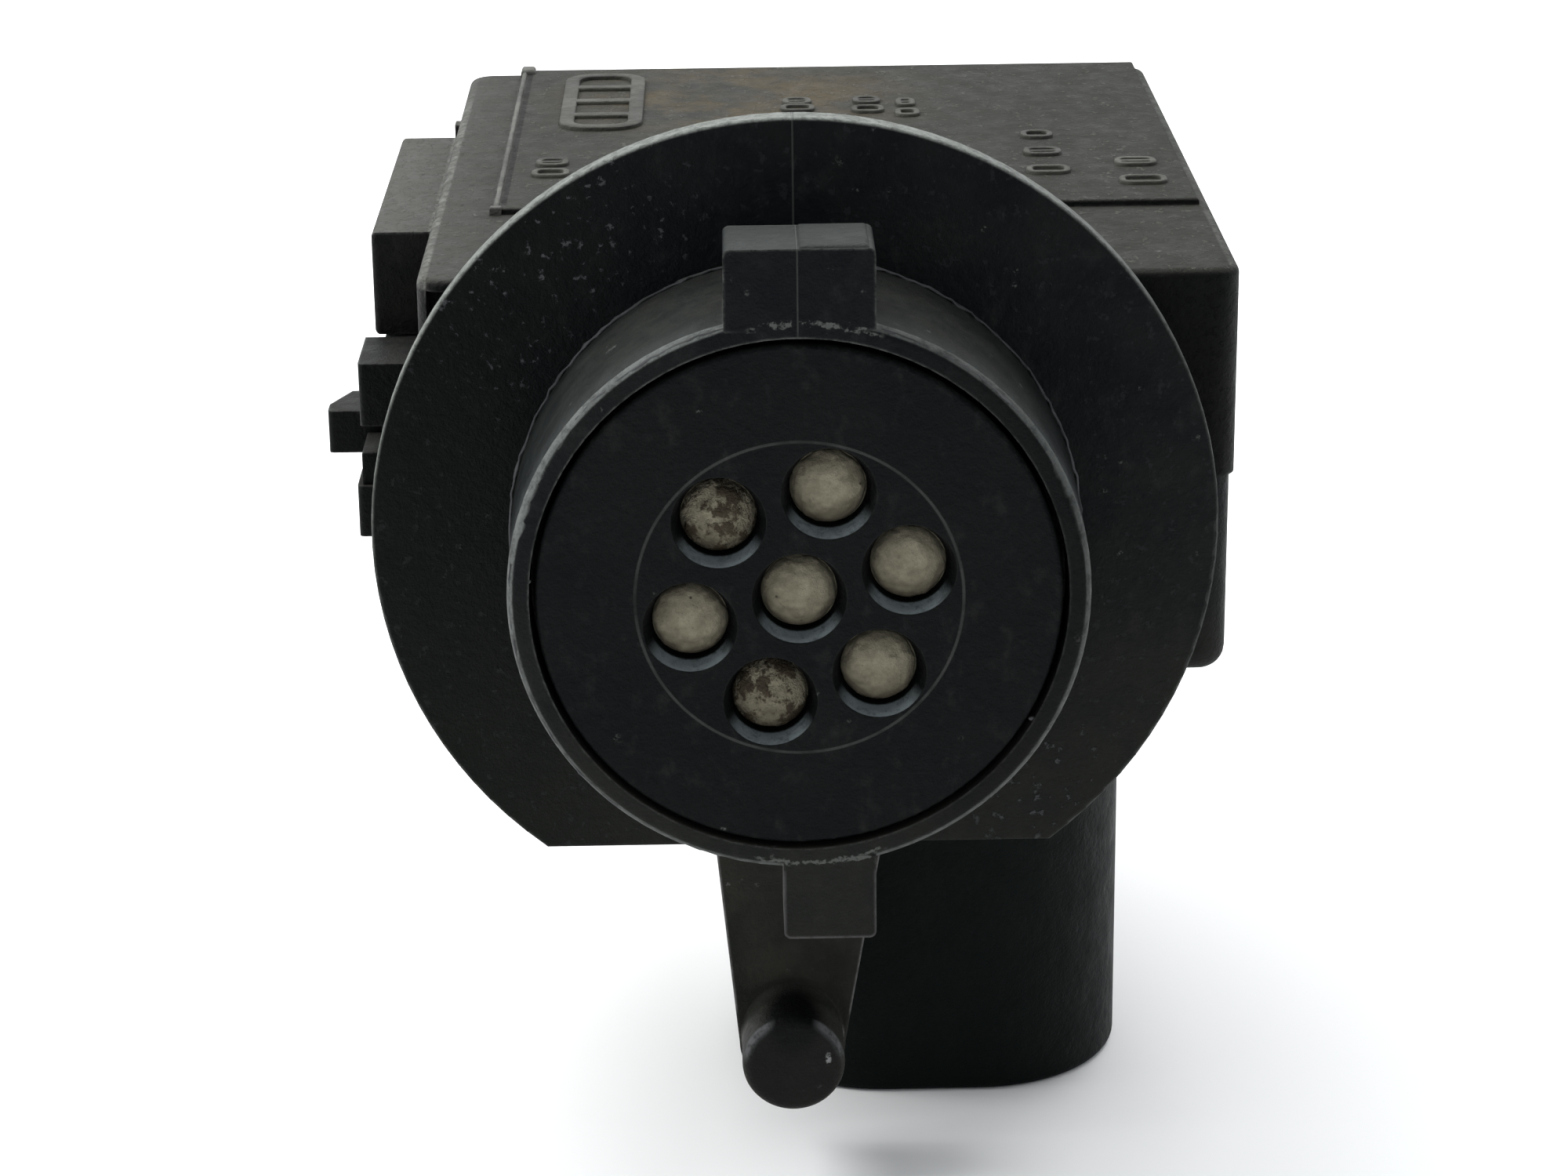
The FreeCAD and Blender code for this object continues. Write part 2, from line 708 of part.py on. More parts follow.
def make_sensor_element():
    """The metal can with its screen, its base with the chip, and its four leads."""
    inner = "can_radius - can_wall"
    make_turned("sensor_can", [
        ("3", "-can_front"),
        ("can_radius", "-can_front"),
        ("can_radius", "-can_back"),
        (inner, "-can_back"),
        (inner, "-can_front + can_wall"),
        ("3", "-can_front + can_wall"),
    ])
    sub_part(cylinder("screen_disc", inner + " - 0.03", "0.15", y="-can_front + can_wall",
                      along="y"), "sensor_screen")
    sub_part(cylinder("header_disc", "header_radius", "header_thick", y="-can_back", along="y"),
             "sensor_header")
    sub_part(box("chip_block", ("-1.1", "1.1"), ("-can_back - 0.7", "-can_back"), ("-1.1", "1.1")),
             "sensor_chip")
    leads = []
    for turn in range(4):
        x, z = lead_place(turn)
        leads.append(cylinder("sensor_lead_%d" % turn, "lead_radius",
                              "can_back - header_thick + shoulder_depth + 0.6",
                              x, "header_thick - can_back", z, along="y"))
    sub_part(group("sensor_lead_group", leads), "sensor_leads")


def lead_place(turn):
    """Where a lead of the sensing element stands, as x and z."""
    angle = "%d * 90 + 45" % turn
    return "lead_circle * cos(%s)" % angle, "lead_circle * sin(%s)" % angle


def make_sensor_board():
    """The round circuit board that lies against the shoulder behind the holder."""
    body = new_body("sensor_board")
    disc = new_sketch(body, "XZ_Plane", "sensor_board_outline")
    add_circle(disc, "0", "0", "sensor_board_radius")
    pad(body, disc, "sensor_board_disc", "shoulder_depth", backwards=True)
    holes = new_sketch(body, "XZ_Plane", "sensor_board_holes")
    for turn in range(4):
        x, z = lead_place(turn)
        add_circle(holes, x, z, "lead_radius + 0.06")
    for x in link_places():
        add_circle(holes, x, "-link_drop", "link_half * 1.42 + 0.05")
    pocket(body, holes, "sensor_board_drilling", "shoulder_depth")


def link_places():
    return ["%d * link_pitch - 1.5 * link_pitch" % index for index in range(4)]


def make_link_pins():
    """Four square pins that lead back from the sensor board and up through the main board."""
    pins = []
    for index, x in enumerate(link_places()):
        across = ("%s - link_half" % x, "%s + link_half" % x)
        along_y = box("link_run_%d" % index, across, ("0", "link_rise + link_half"),
                      ("-link_drop - link_half", "-link_drop + link_half"))
        upright = box("link_riser_%d" % index, across,
                      ("link_rise - link_half", "link_rise + link_half"),
                      ("-link_drop - link_half", "-board_top + 0.7"))
        pins.append(fuse("link_pin_%d" % index, [along_y, upright]))
    sub_part(group("link_pin_group", pins), "link_pins")


# ---------------------------------------------------------------- main board and its parts

def make_main_board():
    """The main circuit board, drilled for the posts, the link pins and the terminals."""
    body = new_body("main_board")
    outline = new_sketch(body, "XY_Plane", "board_outline", "-board_top - board_thick")
    add_rectangle(outline, "-box_left + board_margin", "box_front + board_margin",
                  "box_right - board_margin", "box_back - board_margin")
    pad(body, outline, "board_sheet", "board_thick")
    holes = new_sketch(body, "XY_Plane", "board_holes", "-board_top")
    for x, y in post_places():
        add_circle(holes, x, y, "stake_radius + 0.05")
    for x in link_places():
        add_circle(holes, x, "link_rise", "link_half * 1.42 + 0.05")
    for x in terminal_places():
        add_rectangle(holes, x + " - tail_width / 2 - 0.05", "shroud_y - blade_thick / 2 - 0.05",
                      x + " + tail_width / 2 + 0.05", "shroud_y + blade_thick / 2 + 0.05")
    pocket(body, holes, "board_drilling", "board_thick")


def terminal_places():
    return ["shroud_x + %d * pin_pitch" % step for step in (-1, 0, 1)]


def on_board(name, x, y, size_x, size_y, height, lift=0):
    """A plain component on the main board, given by its middle and size."""
    return box(name, ("%s - %s / 2" % (x, size_x), "%s + %s / 2" % (x, size_x)),
               ("%s - %s / 2" % (y, size_y), "%s + %s / 2" % (y, size_y)),
               ("-board_top + %s" % lift, "-board_top + %s + %s" % (lift, height)))


def make_microcontroller(x, y, side, leads_per_side):
    sub_part(on_board("controller_body", x, y, side, side, 1.4, 0.1), "microcontroller")
    leads = []
    for index in range(leads_per_side):
        along = (index - (leads_per_side - 1) / 2) * 0.8
        reach = side / 2 + 0.5
        for number_of_side, (dx, dy) in enumerate([(reach, along), (-reach, along),
                                                   (along, reach), (along, -reach)]):
            size = (1.0, 0.3) if abs(dx) == reach else (0.3, 1.0)
            leads.append(on_board("controller_lead_%d_%d" % (index, number_of_side), x + dx, y + dy,
                                  size[0], size[1], 0.5))
    sub_part(group("controller_lead_group", leads), "microcontroller_leads")


def make_components():
    """What the main board carries."""
    make_microcontroller(-2, 33, 7, 7)
    sub_part(on_board("regulator_body", 12, 33, 6.5, 3.5, 1.7), "regulator")
    sub_part(on_board("regulator_tab_plate", 12, 35.65, 3, 1.8, 0.4), "regulator_tab")
    sub_part(on_board("capacitor_foot", 12, 43.5, 6.6, 6.6, 1), "capacitor_base")
    sub_part(cylinder("capacitor_tube", 3.1, 5.4, 12, 43.5, "-board_top + 1"), "capacitor_can")
    sub_part(on_board("transistor_body", 12.5, 24, 2.9, 1.4, 1.1), "output_transistor")
    sub_part(on_board("diode_body", 3, 24, 4.3, 2.7, 2.2), "protection_diode")
    sub_part(on_board("resonator_body", -10, 35, 3.2, 5, 1.3), "resonator")
    sub_part(on_board("choke_body", -3, 44, 4.6, 4.6, 2.8), "choke")
    ceramics = [on_board("ceramic_%d" % i, -12 + 4 * i, 22, 1.25, 2, 1.1) for i in range(4)]
    ceramics += [on_board("ceramic_back_%d" % i, 3.5, 40 + 3 * i, 2, 1.25, 1.1) for i in range(3)]
    sub_part(group("ceramic_group", ceramics), "ceramic_capacitors")
    resistors = [on_board("resistor_%d" % i, -12 + 3 * i, 26, 0.85, 1.6, 0.5) for i in range(4)]
    resistors += [on_board("resistor_back_%d" % i, -11, 42 + 2.5 * i, 1.6, 0.85, 0.5)
                  for i in range(4)]
    sub_part(group("resistor_group", resistors), "chip_resistors")


# ---------------------------------------------------------------- terminals

def make_terminals():
    """Three flat blades in the shroud with narrow tails that rise through the main board."""
    for name, x in zip(("supply", "signal", "ground"), terminal_places()):
        body = new_body("terminal_" + name)
        sketch = new_sketch(body, "XZ_Plane", name + "_outline", "shroud_y + blade_thick / 2")
        half, narrow = "blade_width / 2", "tail_width / 2"
        shoulder, top = "-insert_low + 1.5", "-board_top + 1.2"
        add_profile(sketch, [
            (x + " - 0.5", "-blade_end"),
            (x + " + 0.5", "-blade_end"),
            (x + " + " + half, "-blade_end + 1.6"),
            (x + " + " + half, shoulder),
            (x + " + " + narrow, shoulder),
            (x + " + " + narrow, top),
            (x + " - " + narrow, top),
            (x + " - " + narrow, shoulder),
            (x + " - " + half, shoulder),
            (x + " - " + half, "-blade_end + 1.6"),
        ])
        pad(body, sketch, name + "_blade", "blade_thick")


def make_shroud_plug(label, low, high, half_slot):
    """A slab that fills the top of the shroud, with a slot for each terminal."""
    body = new_body(label)
    sketch = new_sketch(body, "XY_Plane", label + "_outline", low)
    add_rounded_rectangle(sketch, "shroud_x", "shroud_y", "shroud_half_x - shroud_wall - 0.03",
                          "shroud_half_y - shroud_wall - 0.03", "shroud_round - shroud_wall")
    pad(body, sketch, label + "_slab", "%s - (%s)" % (high, low))
    slots = new_sketch(body, "XY_Plane", label + "_slots", high)
    for x in terminal_places():
        add_rectangle(slots, "%s - (%s)" % (x, half_slot), "shroud_y - blade_thick / 2 - 0.03",
                      "%s + (%s)" % (x, half_slot), "shroud_y + blade_thick / 2 + 0.03")
    pocket(body, slots, label + "_slotting", "%s - (%s)" % (high, low))


# ---------------------------------------------------------------- build, check and write

def check_document():
    """Stops when any object failed or any sub-part is not one or more sound solids."""
    for thing in doc.Objects:
        if "Invalid" in thing.State or "Error" in thing.State:
            raise RuntimeError("%s failed: %s" % (thing.Name, thing.State))
    for piece in SUB_PARTS:
        shape = piece.Shape
        if shape.isNull() or not shape.isValid() or not shape.Solids:
            raise RuntimeError(piece.Label + " has no sound shape")


def write_parts():
    os.makedirs("parts", exist_ok=True)
    for piece in SUB_PARTS:
        piece.Shape.exportStep("parts/%s.step" % piece.Label)
        print("%-24s %2d solids %10.2f mm3" % (piece.Label, len(piece.Shape.Solids),
                                               piece.Shape.Volume))


make_housing()
make_lid()
make_lid_seal()
make_latch_arm()
make_vent_cap()
make_membrane()
make_sensor_holder()
make_sensor_element()
make_sensor_board()
make_link_pins()
make_main_board()
make_components()
make_terminals()
make_shroud_plug("terminal_insert", "-insert_low", "-insert_low + 2.5", "blade_width / 2 + 0.03")
make_shroud_plug("terminal_potting", "-insert_low + 2.5", "-box_floor", "tail_width / 2 + 0.03")
doc.recompute()
check_document()
write_parts()
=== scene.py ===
# %% [markdown]
# A cabin air quality sensor. It is a black moulded part the size of a matchbox, with a round
# head that turns into a panel like a bayonet, a springy arm that clicks into a hole, and a
# box of electronics behind. The solids come from the CAD frame. This lesson gives them their
# finishes and adds the small things that moulding, handling and dust leave on such a part.

# %% Load the frame
import math

import bmesh
import bpy
from mathutils import Matrix, Vector


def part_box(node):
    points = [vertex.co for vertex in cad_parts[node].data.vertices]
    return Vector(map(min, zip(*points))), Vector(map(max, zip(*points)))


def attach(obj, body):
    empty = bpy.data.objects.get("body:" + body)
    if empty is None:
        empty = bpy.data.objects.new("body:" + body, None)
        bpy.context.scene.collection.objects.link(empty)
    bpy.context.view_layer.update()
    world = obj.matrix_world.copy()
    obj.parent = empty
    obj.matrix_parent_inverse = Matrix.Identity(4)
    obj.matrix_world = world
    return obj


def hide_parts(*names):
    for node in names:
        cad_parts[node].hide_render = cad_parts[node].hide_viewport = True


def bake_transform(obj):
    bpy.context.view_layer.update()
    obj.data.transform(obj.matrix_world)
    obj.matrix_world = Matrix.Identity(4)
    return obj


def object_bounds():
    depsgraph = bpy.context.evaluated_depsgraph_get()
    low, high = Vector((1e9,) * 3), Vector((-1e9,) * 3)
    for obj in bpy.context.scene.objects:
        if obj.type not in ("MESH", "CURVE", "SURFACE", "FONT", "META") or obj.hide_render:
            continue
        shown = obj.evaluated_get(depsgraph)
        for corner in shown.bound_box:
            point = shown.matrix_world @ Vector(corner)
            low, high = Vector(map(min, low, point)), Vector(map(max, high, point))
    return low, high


MM = 0.001

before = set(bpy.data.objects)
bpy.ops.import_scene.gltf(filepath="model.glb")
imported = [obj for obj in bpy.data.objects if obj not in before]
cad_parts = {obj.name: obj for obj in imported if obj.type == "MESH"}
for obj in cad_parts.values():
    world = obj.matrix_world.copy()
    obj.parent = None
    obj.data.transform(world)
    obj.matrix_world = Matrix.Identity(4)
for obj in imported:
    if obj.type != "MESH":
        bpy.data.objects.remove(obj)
cad_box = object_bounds()
print("CAD box in mm:", [[round(v / MM, 1) for v in corner] for corner in cad_box])

# %% [markdown]
# The sensor stands on the rim of its plug shroud. The camera looks down a little from about
# 20 cm away, so the round head is seen nearly face on and the top of the box shows as a
# narrow band. A long lens keeps the round head round.

# %% Camera
CAMERA_PLACE = Vector((-3.1, -193.5, 65.3)) * MM
CAMERA_TURN = math.radians(0.73)
CAMERA_PITCH = math.radians(19.43)
CAMERA_ROLL = math.radians(0.67)

camera_data = bpy.data.cameras.new("camera")
camera_data.sensor_fit = "HORIZONTAL"
camera_data.sensor_width = 36
camera_data.lens = 90.3
camera_data.clip_start = 0.01
camera_data.clip_end = 20
camera = bpy.data.objects.new("camera", camera_data)
camera.matrix_world = (
    Matrix.Translation(CAMERA_PLACE)
    @ Matrix.Rotation(-CAMERA_TURN, 4, "Z")
    @ Matrix.Rotation(math.pi / 2 - CAMERA_PITCH, 4, "X")
    @ Matrix.Rotation(-CAMERA_ROLL, 4, "Z")
)
bpy.context.scene.collection.objects.link(camera)
bpy.context.scene.camera = camera
print("camera lens:", camera_data.lens, "mm")

# %% [markdown]
# A material is a little graph of nodes. These helpers keep the graphs readable: `Graph` adds
# a node in one line, feeds each of its inputs a number, a colour or another node's output,
# and hands back the output that matters. All patterns are measured in millimetres of the
# object's own coordinates, so a grain of 0.2 mm is written as 0.2.


# %% Helpers for materials
def shade_of_grey(value, warmth=0.0):
    """A grey with a little warmth (towards brown) or, below nought, coolness (towards blue)."""
    return (value * (1 + warmth), value, value * (1 - warmth), 1)


# The Mix node repeats its socket names for numbers, vectors and colours, so the sockets for
# colours are known by their numbers.
MIX_FIRST, MIX_SECOND, MIX_RESULT = 6, 7, 2


class Graph:
    """The node graph of one new material."""

    def __init__(self, name):
        self.material = bpy.data.materials.new(name)
        self.material.use_nodes = True
        self.nodes = self.material.node_tree.nodes
        self.links = self.material.node_tree.links
        self.shader = self.nodes["Principled BSDF"]
        place = self.nodes.new("ShaderNodeTexCoord")
        self.place = self.vector("SCALE", place.outputs["Object"], scale=1 / MM)
        apart = self.nodes.new("ShaderNodeSeparateXYZ")
        self.links.new(self.place, apart.inputs[0])
        self.x, self.y, self.z = apart.outputs
        facing = self.nodes.new("ShaderNodeNewGeometry")
        self.normal = facing.outputs["Normal"]
        lean = self.nodes.new("ShaderNodeSeparateXYZ")
        self.links.new(self.normal, lean.inputs[0])
        self.lean_y, self.up = lean.outputs[1], lean.outputs[2]

    def feed(self, socket, value):
        """Gives an input a constant or links another node's output to it."""
        if isinstance(value, bpy.types.NodeSocket):
            self.links.new(value, socket)
        else:
            socket.default_value = value

    def vector(self, operation, first, second=None, scale=None):
        """The result of one sum on vectors, a number for lengths and distances."""
        node = self.nodes.new("ShaderNodeVectorMath")
        node.operation = operation
        self.feed(node.inputs[0], first)
        if second is not None:
            self.feed(node.inputs[1], second)
        if scale is not None:
            self.feed(node.inputs["Scale"], scale)
        wants_number = operation in ("LENGTH", "DISTANCE", "DOT_PRODUCT")
        return node.outputs["Value" if wants_number else "Vector"]

    def math(self, operation, first, second=0.0):
        """The result of one sum on two numbers."""
        node = self.nodes.new("ShaderNodeMath")
        node.operation = operation
        self.feed(node.inputs[0], first)
        self.feed(node.inputs[1], second)
        return node.outputs[0]

    def ramp(self, value, low, high, out_low=0.0, out_high=1.0):
        """Follows value from low to high smoothly, and stays level outside them."""
        node = self.nodes.new("ShaderNodeMapRange")
        node.interpolation_type = "SMOOTHSTEP"
        self.feed(node.inputs["Value"], value)
        node.inputs["From Min"].default_value = low
        node.inputs["From Max"].default_value = high
        node.inputs["To Min"].default_value = out_low
        node.inputs["To Max"].default_value = out_high
        return node.outputs["Result"]

    def band(self, value, centre, half_width, softness):
        """One inside a band round centre, and nought outside it."""
        away = self.math("ABSOLUTE", self.math("SUBTRACT", value, centre))
        return self.ramp(away, half_width, half_width + softness, 1.0, 0.0)

    def noise(self, size, detail=2.0, rough=0.5, stretch=(1, 1, 1), shift=0.0):
        """Cloudy noise whose blobs are about size millimetres wide."""
        node = self.nodes.new("ShaderNodeTexNoise")
        place = self.place
        if stretch != (1, 1, 1):
            place = self.vector("MULTIPLY", place, stretch)
        if shift:
            place = self.vector("ADD", place, (shift, shift, shift))
        self.feed(node.inputs["Vector"], place)
        node.inputs["Scale"].default_value = 1 / size
        node.inputs["Detail"].default_value = detail
        node.inputs["Roughness"].default_value = rough
        return node.outputs[0]

    def specks(self, spacing, radius, share, softness=0.5):
        """Small separate specks. spacing and radius are in millimetres, share is how many show."""
        node = self.nodes.new("ShaderNodeTexVoronoi")
        self.feed(node.inputs["Vector"], self.place)
        node.inputs["Scale"].default_value = 1 / spacing
        reach = radius / spacing
        near_point = self.ramp(node.outputs["Distance"], reach * softness, reach, 1.0, 0.0)
        chance = self.nodes.new("ShaderNodeSeparateColor")
        self.links.new(node.outputs["Color"], chance.inputs[0])
        shows = self.math("LESS_THAN", chance.outputs[0], share)
        return self.times(near_point, shows)

    def edges(self, width, low=0.02, high=0.2):
        """One along outer and inner edges, from how far a rounded normal leans off the flat one."""
        node = self.nodes.new("ShaderNodeBevel")
        node.samples = 6
        node.inputs["Radius"].default_value = width * MM
        same = self.vector("DOT_PRODUCT", node.outputs[0], self.normal)
        return self.ramp(self.math("SUBTRACT", 1.0, same), low, high)

    def blend(self, share, first, second):
        """A colour that goes from first to second as share goes from nought to one."""
        node = self.nodes.new("ShaderNodeMix")
        node.data_type = "RGBA"
        self.feed(node.inputs["Factor"], share)
        self.feed(node.inputs[MIX_FIRST], first)
        self.feed(node.inputs[MIX_SECOND], second)
        return node.outputs[MIX_RESULT]

    def times(self, *values):
        """The product of all values. Of masks, it is one only where every mask is one."""
        result = values[0]
        for value in values[1:]:
            result = self.math("MULTIPLY", result, value)
        return result

    def most(self, *values):
        """The largest of all values. Of masks, it is one where any mask is one."""
        result = values[0]
        for value in values[1:]:
            result = self.math("MAXIMUM", result, value)
        return result

    def tint(self, colour, other, strength, *masks):
        """Moves colour towards other by this strength, where all masks are one."""
        return self.blend(self.times(*masks, strength), colour, other)

    def bumps(self, *layers, rounding=0.0):
        """Layers are (height, depth in mm) pairs laid on each other, over edges rounded in mm."""
        normal = None
        if rounding:
            node = self.nodes.new("ShaderNodeBevel")
            node.samples = 6
            node.inputs["Radius"].default_value = rounding * MM
            normal = node.outputs[0]
        for height, depth in layers:
            node = self.nodes.new("ShaderNodeBump")
            node.inputs["Distance"].default_value = depth * MM
            node.inputs["Strength"].default_value = 1.0
            self.feed(node.inputs["Height"], height)
            if normal is not None:
                self.links.new(normal, node.inputs["Normal"])
            normal = node.outputs[0]
        self.links.new(normal, self.shader.inputs["Normal"])

    def finish(self, colour, roughness, **plain):
        """Feeds the shader and hands back the material. plain sets sockets to constants."""
        self.feed(self.shader.inputs["Base Color"], colour)
        self.feed(self.shader.inputs["Roughness"], roughness)
        for name, value in plain.items():
            self.shader.inputs[name.replace("_", " ")].default_value = value
        return self.material


def paint(material, *pieces):
    """Gives pieces one material. A piece is an object or the name of a CAD node."""
    for piece in pieces:
        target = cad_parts[piece] if isinstance(piece, str) else piece
        target.data.materials.clear()
        target.data.materials.append(material)


# %% [markdown]
# The floor is a plain pale sheet. The light is soft and comes from everywhere, more of it
# from behind than from the front. A large lamp behind and above brightens the floor and the
# tops, and a weaker one at the upper left shapes the round head. Black plastic has little
# colour of its own, so what it mirrors, the floor below and the room behind, makes most of
# its look.

# %% Floor and light
FLOOR_WIDTH = 6
floor_level = cad_box[0].z
bpy.ops.object.select_all(action="DESELECT")
bpy.ops.mesh.primitive_plane_add(size=FLOOR_WIDTH, location=(0, 0, floor_level))
floor = bpy.context.object
floor.name = "floor"
floor_graph = Graph("floor_paper")
floor_tone = floor_graph.noise(40, 3)
paint(
    floor_graph.finish(
        floor_graph.blend(floor_tone, (0.90, 0.90, 0.89, 1), (0.93, 0.93, 0.92, 1)),
        floor_graph.ramp(floor_tone, 0, 1, 0.8, 0.95),
        Specular_IOR_Level=0.1,
    ),
    floor,
)

world = bpy.data.worlds.new("soft_room")
world.use_nodes = True
room = world.node_tree
direction = room.nodes.new("ShaderNodeTexCoord")
apart = room.nodes.new("ShaderNodeSeparateXYZ")
room.links.new(direction.outputs["Generated"], apart.inputs[0])
front_to_back = room.nodes.new("ShaderNodeMapRange")
front_to_back.inputs["From Min"].default_value = -0.7
front_to_back.inputs["From Max"].default_value = 0.35
front_to_back.inputs["To Min"].default_value = 0.42
front_to_back.inputs["To Max"].default_value = 1.15
room.links.new(apart.outputs[1], front_to_back.inputs["Value"])
room.links.new(front_to_back.outputs[0], room.nodes["Background"].inputs["Strength"])
room.nodes["Background"].inputs["Color"].default_value = (0.93, 0.96, 1.0, 1)
bpy.context.scene.world = world
bpy.context.scene.view_settings.view_transform = "Standard"


def add_lamp(name, place, aim, size, power):
    """A square lamp, place and aim in millimetres."""
    data = bpy.data.lights.new(name, "AREA")
    data.shape = "SQUARE"
    data.size = size * MM
    data.energy = power
    lamp = bpy.data.objects.new(name, data)
    lamp.location = Vector(place) * MM
    gaze = Vector(aim) * MM - lamp.location
    lamp.rotation_mode = "QUATERNION"
    lamp.rotation_quaternion = gaze.to_track_quat("-Z", "Y")
    bpy.context.scene.collection.objects.link(lamp)
    print("lamp", name, power, "W")


add_lamp("back_lamp", (60, 380, 420), (0, 60, -36), 600, 3.6)
add_lamp("left_lamp", (-330, 20, 330), (0, 0, 0), 220, 1.8)

# %% [markdown]
# The housing is glass-filled nylon, black right through. The tool's surface leaves a fine
# grain on it. Handling has polished and chipped its corners until they look pale, and the
# pale colour on the corners is also a painted highlight for the light that edges catch. Dust
# sits on whatever faces up. The grain, the clouds of grey and the pale specks are noises of
# different sizes. The pale corners, worn and painted as highlight, come from the Bevel node,
# which knows where two faces meet. One function makes the plastic, and each moulding adds its
# own marks to it.


# %% Moulded plastic
PALE_WEAR_AND_HIGHLIGHT = (0.146, 0.150, 0.141, 1)
DUST = (0.042, 0.0425, 0.0355, 1)
PLASTIC_GLOSS = 0.075


def moulded_plastic(name, dark, light, edge_wear_and_highlight=0.6, dust=0.5, speck_share=0.1, rough=0.5,
                    edge_width=0.22, marks=None):
    """Black plastic with grain, grey clouds, specks, worn corners with a painted highlight, dust on
    tops.
    """
    g = Graph(name)
    clouds = g.noise(6, 5, 0.65)
    streaks = g.noise(1.4, 6, 0.7, stretch=(1, 1, 0.7), shift=31)
    grain = g.noise(0.14, 3, 0.6)
    pits = g.noise(0.5, 5, 0.65, shift=7)

    colour = g.blend(g.ramp(clouds, 0.35, 0.66), dark, light)
    colour = g.blend(g.ramp(streaks, 0.5, 0.78, 0, 0.5), colour, shade_of_grey(0.024, 0.02))

    facing_up = g.ramp(g.up, 0.3, 0.9)
    settled = g.ramp(g.noise(1.9, 7, 0.75, shift=3), 0.3, 0.66, 0.35, 1.0)
    dusty = g.times(facing_up, settled, dust)
    colour = g.blend(dusty, colour, DUST)

    patchy = g.ramp(g.noise(5, 3, 0.6, shift=11), 0.42, 0.6)
    speck = g.most(g.specks(0.8, 0.2, speck_share), g.specks(2.3, 0.45, speck_share * 0.5))
    crumbly = g.ramp(g.noise(0.22, 4, 0.75, shift=13), 0.5, 0.58)
    colour = g.tint(colour, PALE_WEAR_AND_HIGHLIGHT, 0.5, speck, crumbly, patchy)

    # Pale corners: worn plastic, and also a painted highlight for the light that edges catch.
    rubbed = g.ramp(g.noise(0.8, 6, 0.75, shift=19), 0.36, 0.62, 0.15, 1.0)
    colour = g.tint(colour, PALE_WEAR_AND_HIGHLIGHT, edge_wear_and_highlight, g.edges(edge_width), rubbed)

    roughness = g.ramp(streaks, 0.25, 0.75, rough - 0.08, rough + 0.12)
    roughness = g.math("ADD", roughness, g.times(dusty, 0.3))
    heights = [(grain, 0.04), (pits, 0.10)]
    if marks:
        colour, roughness, heights = marks(g, colour, roughness, heights)
    g.bumps(*heights, rounding=edge_width)
    return g.finish(colour, roughness, Specular_IOR_Level=PLASTIC_GLOSS)


# %% [markdown]
# The housing's own marks sit on the round head. The flange is nearly blue-black at its top
# and greyer towards its foot, a grey that is partly dust and partly painted light standing in
# for the light the floor throws up. Its rim is pale, partly rubbed and partly a painted
# highlight that is strongest at the upper left and where the rim faces up.
# Chips and scuffs are scattered over it, with a patch of them at the upper left. Each mark is
# a product of masks: where on the part it may be, times a noise that makes it ragged.

# %% Flange marks
FLANGE_RADIUS = 22.0
SPIGOT_RADIUS = 14.75
LOW_DUST_AND_FLOOR_LIGHT = (0.0195, 0.0205, 0.0155, 1)
LEFT_BLACK = (0.0010, 0.0022, 0.0013, 1)
CHIP_GREY = shade_of_grey(0.11, -0.05)
RIM_WEAR_AND_HIGHLIGHT = (0.205, 0.218, 0.200, 1)


def flange_marks(g, colour, radius):
    """Adds the low grey with painted floor light, the darker left side, chips and the pale rim. Also
    gives the chips.
    """
    on_flange = g.band(g.y, 0.3, 1.3, 0.1)
    # Greyer towards the foot: some dust, and painted light standing in for what the floor throws up.
    low = g.ramp(g.z, -20, 8, 1.0, 0.0)
    cloudy = g.ramp(g.noise(3, 5, 0.65, shift=51), 0.3, 0.7, 0.5, 1.0)
    colour = g.tint(colour, LOW_DUST_AND_FLOOR_LIGHT, 0.75, low, cloudy)
    left = g.ramp(g.x, -19, -4, 1.0, 0.0)
    colour = g.tint(colour, LEFT_BLACK, 0.7, left, on_flange)

    clump = g.ramp(g.noise(0.62, 4, 0.7, shift=41), 0.585, 0.65)
    upper_left = g.ramp(g.vector("DISTANCE", g.place, (-12, 0, 14.5)), 4, 10, 1.0, 0.14)
    lower_right = g.ramp(g.vector("DISTANCE", g.place, (12.5, 0, -14)), 2, 6, 0.8, 0.0)
    outside = g.ramp(radius, SPIGOT_RADIUS + 0.5, SPIGOT_RADIUS + 1.6)
    chips = g.times(clump, g.most(upper_left, lower_right), outside, on_flange)
    colour = g.tint(colour, CHIP_GREY, 0.5, chips)

    # The pale rim is partly worn and partly a painted highlight, painted brightest at the upper left
    # and where it faces up.
    rim = g.ramp(radius, FLANGE_RADIUS - 0.2, FLANGE_RADIUS - 0.02)
    lit_from_upper_left = g.ramp(g.math("SUBTRACT", g.z, g.times(g.x, 0.6)), -14, 22, 0.25, 1.0)
    ragged = g.ramp(g.noise(0.55, 5, 0.75, shift=61), 0.32, 0.62, 0.4, 1.0)
    lit_from_above = g.ramp(g.up, -0.2, 0.6, 0.4, 1.0)
    colour = g.tint(colour, RIM_WEAR_AND_HIGHLIGHT, 0.9, rim, on_flange, lit_from_upper_left, ragged, lit_from_above)
    return colour, chips


# %% [markdown]
# The side of the spigot is rubbed grey from turning in panels, more towards its mouth. The
# mouth's rounded edge is a pale ring, torn in places, partly worn and partly a painted
# highlight that is brightest at the upper left. Inside the mouth at the right the wall gets
# painted shade, and a ragged skin of flash clings to the face inside the mouth. The low lug's
# edges are pale and the lugs' tops a little grey.

# %% Spigot marks
SIDE_GREY = (0.0210, 0.0250, 0.0240, 1)
SIDE_PALE = (0.050, 0.055, 0.055, 1)
MOUTH_WEAR_AND_HIGHLIGHT = (0.138, 0.148, 0.140, 1)
INNER_SHADE = (0.0012, 0.0016, 0.0014, 1)
SKIN_GREY = (0.100, 0.107, 0.098, 1)
LUG_GREY = (0.038, 0.043, 0.042, 1)


